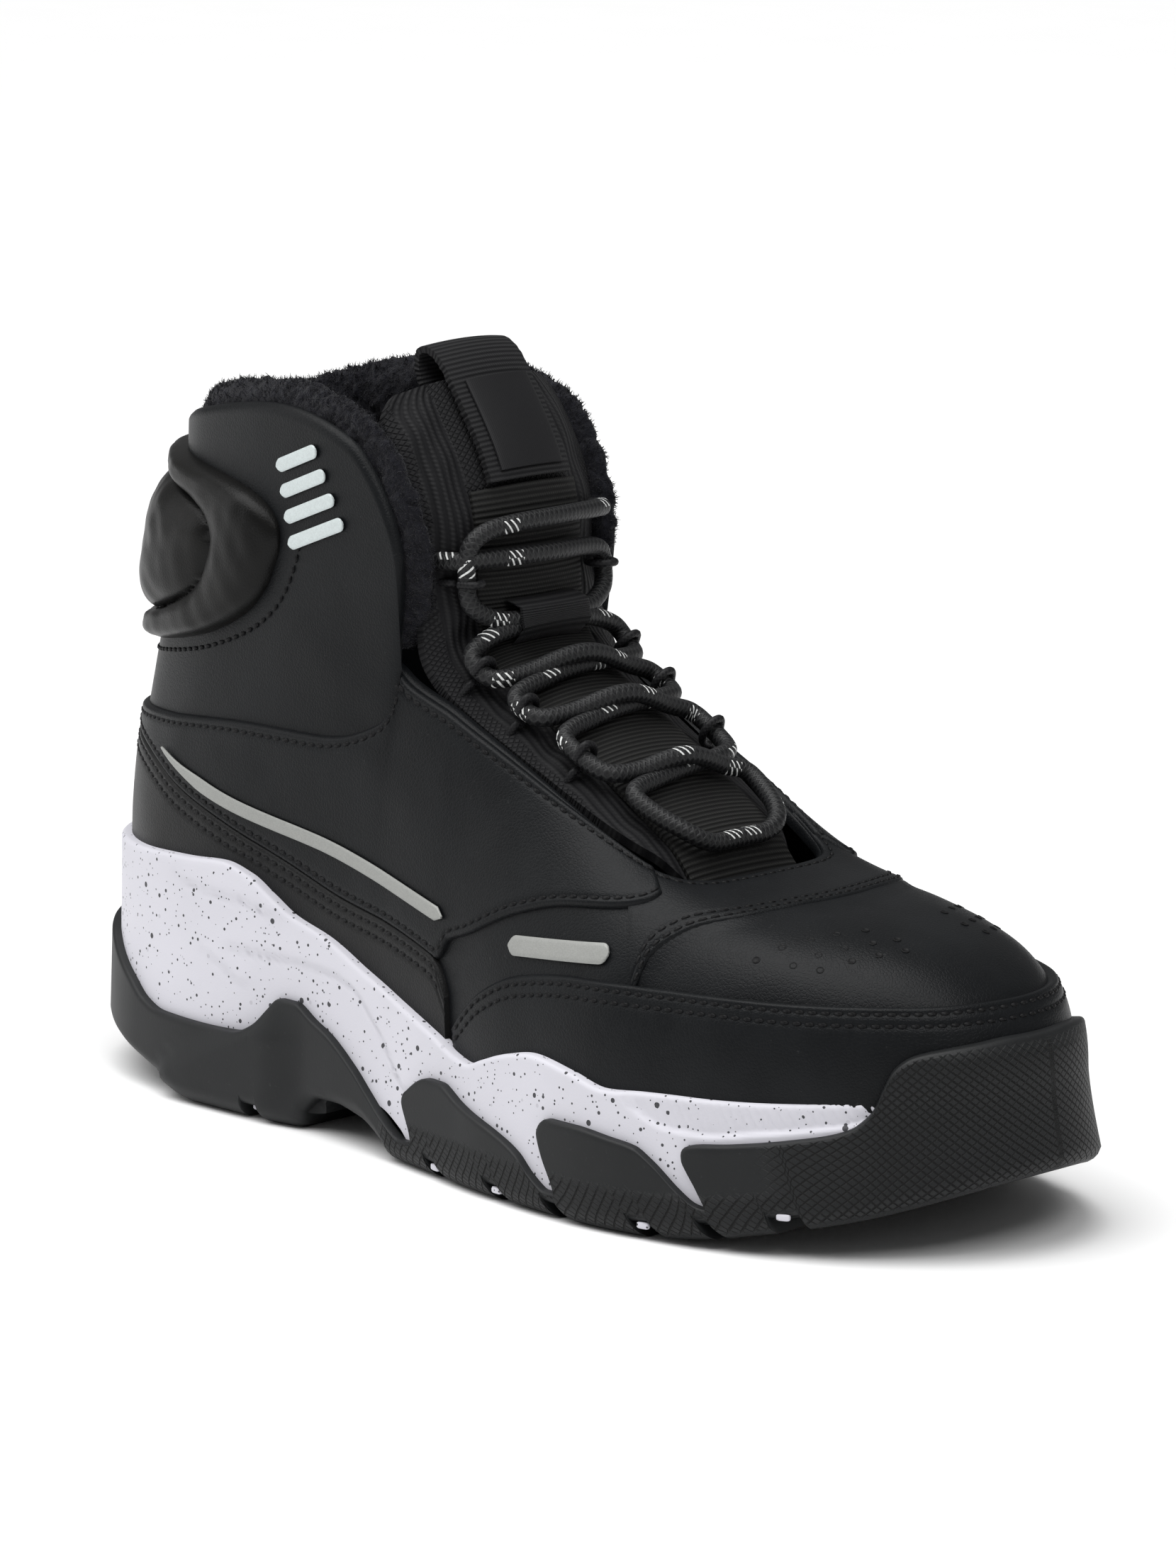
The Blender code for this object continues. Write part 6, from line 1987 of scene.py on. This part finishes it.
@dataclass
class Lacing:
    """Two ends of one round rope, crossed in five rows through cord loops; they end at the top loops."""

    tongue: Tongue
    diameter: float = 4.4
    inset: float = 4.6
    side_lift: float = 1.3
    rows: tuple[tuple[float, float, float], ...] = ((31, 3.5, 1.6), (54, 3.5, 1.6), (71, 3.5, 1.6), (98, 10, 2.1))
    base_row: float = 8.0
    top_rows: tuple[float, float] = (119.0, 126.5)
    cord: float = 1.9

    def point(self, s: Array, side: Array, out: Array | float = 0.0) -> Array:
        """The lace's middle, at a distance up the tongue and across it, raised over the tape and at the sides."""
        t = self.tongue
        reach = 1 - self.inset / t.half(s)
        lift = t.lift + t.web + 0.6 + self.diameter / 2
        raised = lift + self.side_lift * np.clip((np.abs(side) - 0.55) / 0.35, 0, 1)
        return t.point(s, np.asarray(side) * reach, raised + out)

    def strand(self, first: float) -> Array:
        """One end's path: across each row from side to side, over the other end at every second crossing."""
        knots = [(self.base_row, 0.0), (self.base_row, first)]
        side = first
        for middle, spread, pinch in self.rows:
            knots += [(middle - spread, side), (middle - pinch, 0.58 * side)]
            knots += [(middle + pinch, -0.58 * side), (middle + spread, -side)]
            side = -side
        top = self.top_rows[0 if side > 0 else 1]
        knots = np.array(knots + [(top, side), (top, -side)], float)
        steps = np.concatenate([np.linspace(k, k + 1, 12, endpoint=False) for k in range(len(knots) - 1)])
        steps = np.append(steps, len(knots) - 1.0)
        plan = np.stack([np.interp(steps, np.arange(len(knots)), knots[:, k]) for k in range(2)], -1)
        plan = relax(plan, 16)
        row = np.array([middle for middle, _, _ in self.rows])
        near = np.abs(plan[:, :1] - row).argmin(1)
        over = np.where((near % 2 == 0) == (first > 0), 1.0, 0.0)
        crossing = (np.abs(plan[:, 0] - row[near]) < 6.0) * ramp(0.0, 1.0, 1 - np.abs(plan[:, 1]) / 0.85)
        keeper = ramp(90.0, 94.0, plan[:, 0]) * (1 - ramp(102.0, 106.0, plan[:, 0]))
        out = crossing * (over * 3.9 - 0.3) * (1 - 0.75 * keeper)
        path = relax(resample(self.point(plan[:, 0], plan[:, 1], out), 0.7), 3)
        dive = np.linspace(0, 1, 18)[1:, None]
        t = self.tongue
        away = unit(t.point(top, 0.0, 5.0) - t.point(top, 0.0, 0.0))
        tail = path[-1] + np.array([0.0, -side, 0.0]) * 3.5 * dive - away * 12.0 * dive**1.3
        return np.concatenate([path, tail])

    def laces(self) -> None:
        """Makes the rope as one piece of two strands."""
        paths = [self.strand(-1.0), self.strand(1.0)]
        LOG.info("lace strands of %.0f and %.0f mm", *(run_of(path)[-1] for path in paths))
        piece = self.tongue.shop.tube("rope_lace", paths, self.diameter / 2, 16, (0.0, 0.0, 1.0))
        self.tongue.dress(piece, [self.tongue.finishes.rope], "lace", "black_rope")

    def loops(self) -> None:
        """Makes the cord loops, bent round the lace and sewn in under the throat's edge."""
        t = self.tongue
        radius = self.diameter / 2 + 0.6 + self.cord / 2
        turn = np.radians(np.linspace(-105, 105, 48))[:, None]
        middles = np.array([middle for middle, _, _ in self.rows])
        rows = list((middles[:-1] + middles[1:]) / 2 - (0, 0, self.diameter))
        rows.append((middles[-1] + self.rows[-1][1] + self.top_rows[0]) / 2)
        for side in Side:
            for number, row in enumerate(rows, 1):
                away = unit(t.point(row, side.value, 5.0) - t.point(row, side.value, 0.0))
                inward = np.array([0.0, -side.value, 0.0])
                bow = self.point(row, side.value) + radius * (np.cos(turn) * inward + np.sin(turn) * away)
                leg = np.linspace(4.2, 0.4, 10)[:, None] * (-0.25 * inward - 0.97 * away)
                path = relax(np.concatenate([bow[0] + leg, bow, bow[-1] + leg[::-1]]), 12)
                ahead = unit(t.point(row + 1.0, side.value) - t.point(row - 1.0, side.value))
                piece = t.shop.tube(f"cord_loop_{side.label}_{number}", [path], self.cord / 2, 10, ahead)
                t.dress(piece, [t.finishes.cord], f"lace_loop_{side.label}_{number}", "black_rope")

    def build(self) -> None:
        """Makes the lacing."""
        self.laces()
        self.loops()


@dataclass
class Trims:
    """The reflective film on both sides: a long pointed strip, a forefoot bar and a ladder of collar bars."""

    shop: Workshop
    finishes: Finishes
    thick: float = 0.5
    strip_lift: float = 2.0
    lift: float = 0.6
    strip_width: float = 3.4
    bar_width: float = 4.6
    pill: tuple[float, float, float, float] = (21.0, 1.6, 3.4, 6.2)
    pill_low: tuple[float, float] = (0.335, 0.832)
    pill_tilt: float = 21.0
    strip: tuple[tuple[float, float], ...] = (
        (0.145, 0.484),
        (0.175, 0.462),
        (0.240, 0.432),
        (0.360, 0.400),
        (0.450, 0.368),
        (0.505, 0.348),
    )
    bar: tuple[tuple[float, float], ...] = ((0.585, 0.336), (0.690, 0.352))

    def film(self, name: str, line: Array, wide: float, side: Side, lift: float, pointed: bool = False) -> None:
        """Makes one strip with round ends and a softly bevelled edge, along a line seen from the side."""
        at = np.linspace(0, run_of(line)[-1], 48)
        spots = np.stack([smooth(run_of(line), line[:, k], at) for k in range(2)], -1)
        half = wide / 2
        reach = np.clip(np.minimum(at, at[-1] - at) / half, 0, 1)
        breadth = half * np.sqrt(np.clip(1 - (1 - reach) ** 2, 0.02, 1))
        if pointed:
            breadth = np.minimum(breadth, half * np.clip(0.2 + at / 22.0, 0, 1))
        along = unit(np.gradient(spots, axis=0))
        level = np.linspace(-1, 1, 11)[None, :]
        x = spots[:, :1] - along[:, 1:] * level * breadth[:, None]
        z = spots[:, 1:] + along[:, :1] * level * breadth[:, None]
        crown = self.thick * (0.45 + 0.55 * np.sqrt(np.clip(1 - level**6, 0, 1))) + 0 * x
        front = self.shop.last.on_side(x, z, side, lift + crown)
        piece = self.shop.slab(f"film_{name}", front, self.shop.last.on_side(x, z, side, lift + 0 * crown))
        shiny = name.startswith("collar")
        piece.data.materials.append(self.finishes.silver if shiny else self.finishes.grey)
        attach(piece, "root")
        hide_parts(name)

    def build(self) -> None:
        """Makes the trim of both sides."""
        sizes = np.array([self.shop.last.length, self.shop.last.collar_height])
        tilt = math.radians(self.pill_tilt)
        ahead, over = np.array([math.cos(tilt), math.sin(tilt)]), np.array([-math.sin(tilt), math.cos(tilt)])
        length, step, wide, pitch = self.pill
        for side in Side:
            self.film(f"side_strip_{side.label}", np.array(self.strip) * sizes, self.strip_width, side, self.strip_lift, True)
            self.film(f"forefoot_bar_{side.label}", np.array(self.bar) * sizes, self.bar_width, side, self.lift)
            for number in range(4):
                middle = np.array(self.pill_low) * sizes + over * pitch * number
                reach = ahead * (length - step * number) / 2
                line = np.array([middle - reach, middle + reach])
                self.film(f"collar_bar_{side.label}_{number + 1}", line, wide, side, self.lift)


@dataclass
class Studio:
    """A white sweep, soft lamps and the camera, set where the photograph was taken from."""

    shop: Workshop
    azimuth: float = 45.6
    elevation: float = 11.95
    distance: float = 1668.0
    aim: tuple[float, float, float] = (150.0, 0.0, 80.0)
    lens: float = 160.7
    shift_x: float = 0.0116
    shift_y: float = 0.0154

    def camera(self) -> None:
        """Places the camera, level, at its distance from the aim."""
        a, e = math.radians(self.azimuth), math.radians(self.elevation)
        back = np.array([math.sin(a) * math.cos(e), -math.cos(a) * math.cos(e), math.sin(e)])
        data = bpy.data.cameras.new("camera")
        data.lens, data.sensor_width = self.lens, 36.0
        data.shift_x, data.shift_y = self.shift_x, self.shift_y
        data.clip_start, data.clip_end = 0.05, 60.0
        camera = bpy.data.objects.new("camera", data)
        camera.location = (np.array(self.aim) + back * self.distance) * MM - self.shop.shift
        camera.rotation_euler = (math.pi / 2 - e, 0.0, a)
        bpy.context.scene.collection.objects.link(camera)
        bpy.context.scene.camera = camera

    def lamp(self, name: str, place: tuple, size: tuple, power: float, aim: tuple = (0.0, 0.0, 0.07)) -> None:
        """Adds one soft rectangular lamp.

        Args:
            name: The lamp's name.
            place: Where it stands, in metres.
            size: Its width and height, in metres.
            power: Its power in watts.
            aim: Where it points.
        """
        data = bpy.data.lights.new(name, "AREA")
        data.shape = "RECTANGLE"
        data.size, data.size_y = size
        data.energy = power
        lamp = bpy.data.objects.new(name, data)
        lamp.location = place
        lamp.rotation_euler = (Vector(aim) - Vector(place)).to_track_quat("-Z", "Y").to_euler()
        bpy.context.scene.collection.objects.link(lamp)

    def build(self) -> None:
        """Sets up the floor, the world, the lamps and the camera."""
        self.camera()
        span = np.linspace(-16.0, 16.0, 9)
        x, y = np.meshgrid(span, span, indexing="ij")
        points = np.stack([x, y, 0 * x], -1).reshape(-1, 3)
        number = np.arange(81).reshape(9, 9)
        quads = np.stack([number[:-1, :-1], number[1:, :-1], number[1:, 1:], number[:-1, 1:]], -1).reshape(-1, 4)
        data = bpy.data.meshes.new("floor")
        data.from_pydata(points.tolist(), [], quads.tolist())
        floor = bpy.data.objects.new("floor", data)
        bpy.context.scene.collection.objects.link(floor)
        w = Wiring("white_sweep")
        grain = w.noise(w.place(), 60.0, 2.0)
        tone = w.blend(grain, (0.93, 0.93, 0.93), (0.95, 0.95, 0.95))
        floor.data.materials.append(w.finish({"Roughness": 0.65, "Specular IOR Level": 0.2}, base=tone))
        floor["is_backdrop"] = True
        world = bpy.data.worlds.new("studio")
        world.use_nodes = True
        sky = world.node_tree.nodes["Background"]
        sky.inputs["Color"].default_value = (1.0, 1.0, 1.0, 1.0)
        sky.inputs["Strength"].default_value = 0.20
        bpy.context.scene.world = world
        self.lamp("left", (-1.3, -0.9, 0.7), (0.9, 1.1), 5.0)
        self.lamp("right", (1.0, -0.25, 1.3), (0.9, 0.7), 8.0)
        sun = bpy.data.lights.new("sky_panel", "SUN")
        sun.energy, sun.angle = 3.0, math.radians(60)
        panel = bpy.data.objects.new("sky_panel", sun)
        panel.rotation_euler = (math.radians(14), math.radians(-10), 0.0)
        bpy.context.scene.collection.objects.link(panel)
        bpy.context.scene.view_settings.view_transform = "Standard"


def main() -> None:
    """Dresses the shoe and sets up its studio."""
    logging.basicConfig(level=logging.INFO, format="%(message)s")
    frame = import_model()
    before = [list(corner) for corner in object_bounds()]
    last = Last()
    stations = np.linspace(0, 2 * math.pi, 57)[:-1]
    heel = last.feather(stations)[:, 0].min() * MM
    low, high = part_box("upper")
    middle = (last.point(stations[:, None], np.linspace(0, 1, 11)[None, :])[..., 0]).min() * MM
    shift = np.array([middle - low[0], 0.0, 0.0])
    shift[1] = last.point(stations[:, None], np.linspace(0, 1, 11)[None, :])[..., 1].min() * MM - low[1]
    LOG.info("shift %s heel %s", shift, heel)
    shop = Workshop(frame, last, Cup(last), shift)
    finishes = Finishes()
    sewing = Sewing(shop)
    Upper(shop, finishes, sewing).build()
    LOG.info("upper made")
    Sole(shop, finishes).build()
    LOG.info("sole made")
    Collar(shop, finishes, sewing).build()
    tongue = Tongue(shop, finishes)
    tongue.build()
    Lacing(tongue).build()
    Trims(shop, finishes).build()
    LOG.info("collar, tongue, laces and trim made")
    sewing.sew(finishes.thread)
    Studio(shop).build()
    after = [list(corner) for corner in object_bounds()]
    {"cad": [[float(c) for c in p] for p in before], "visual": [[float(c) for c in p] for p in after]}


if __name__ == "__main__":
    main()
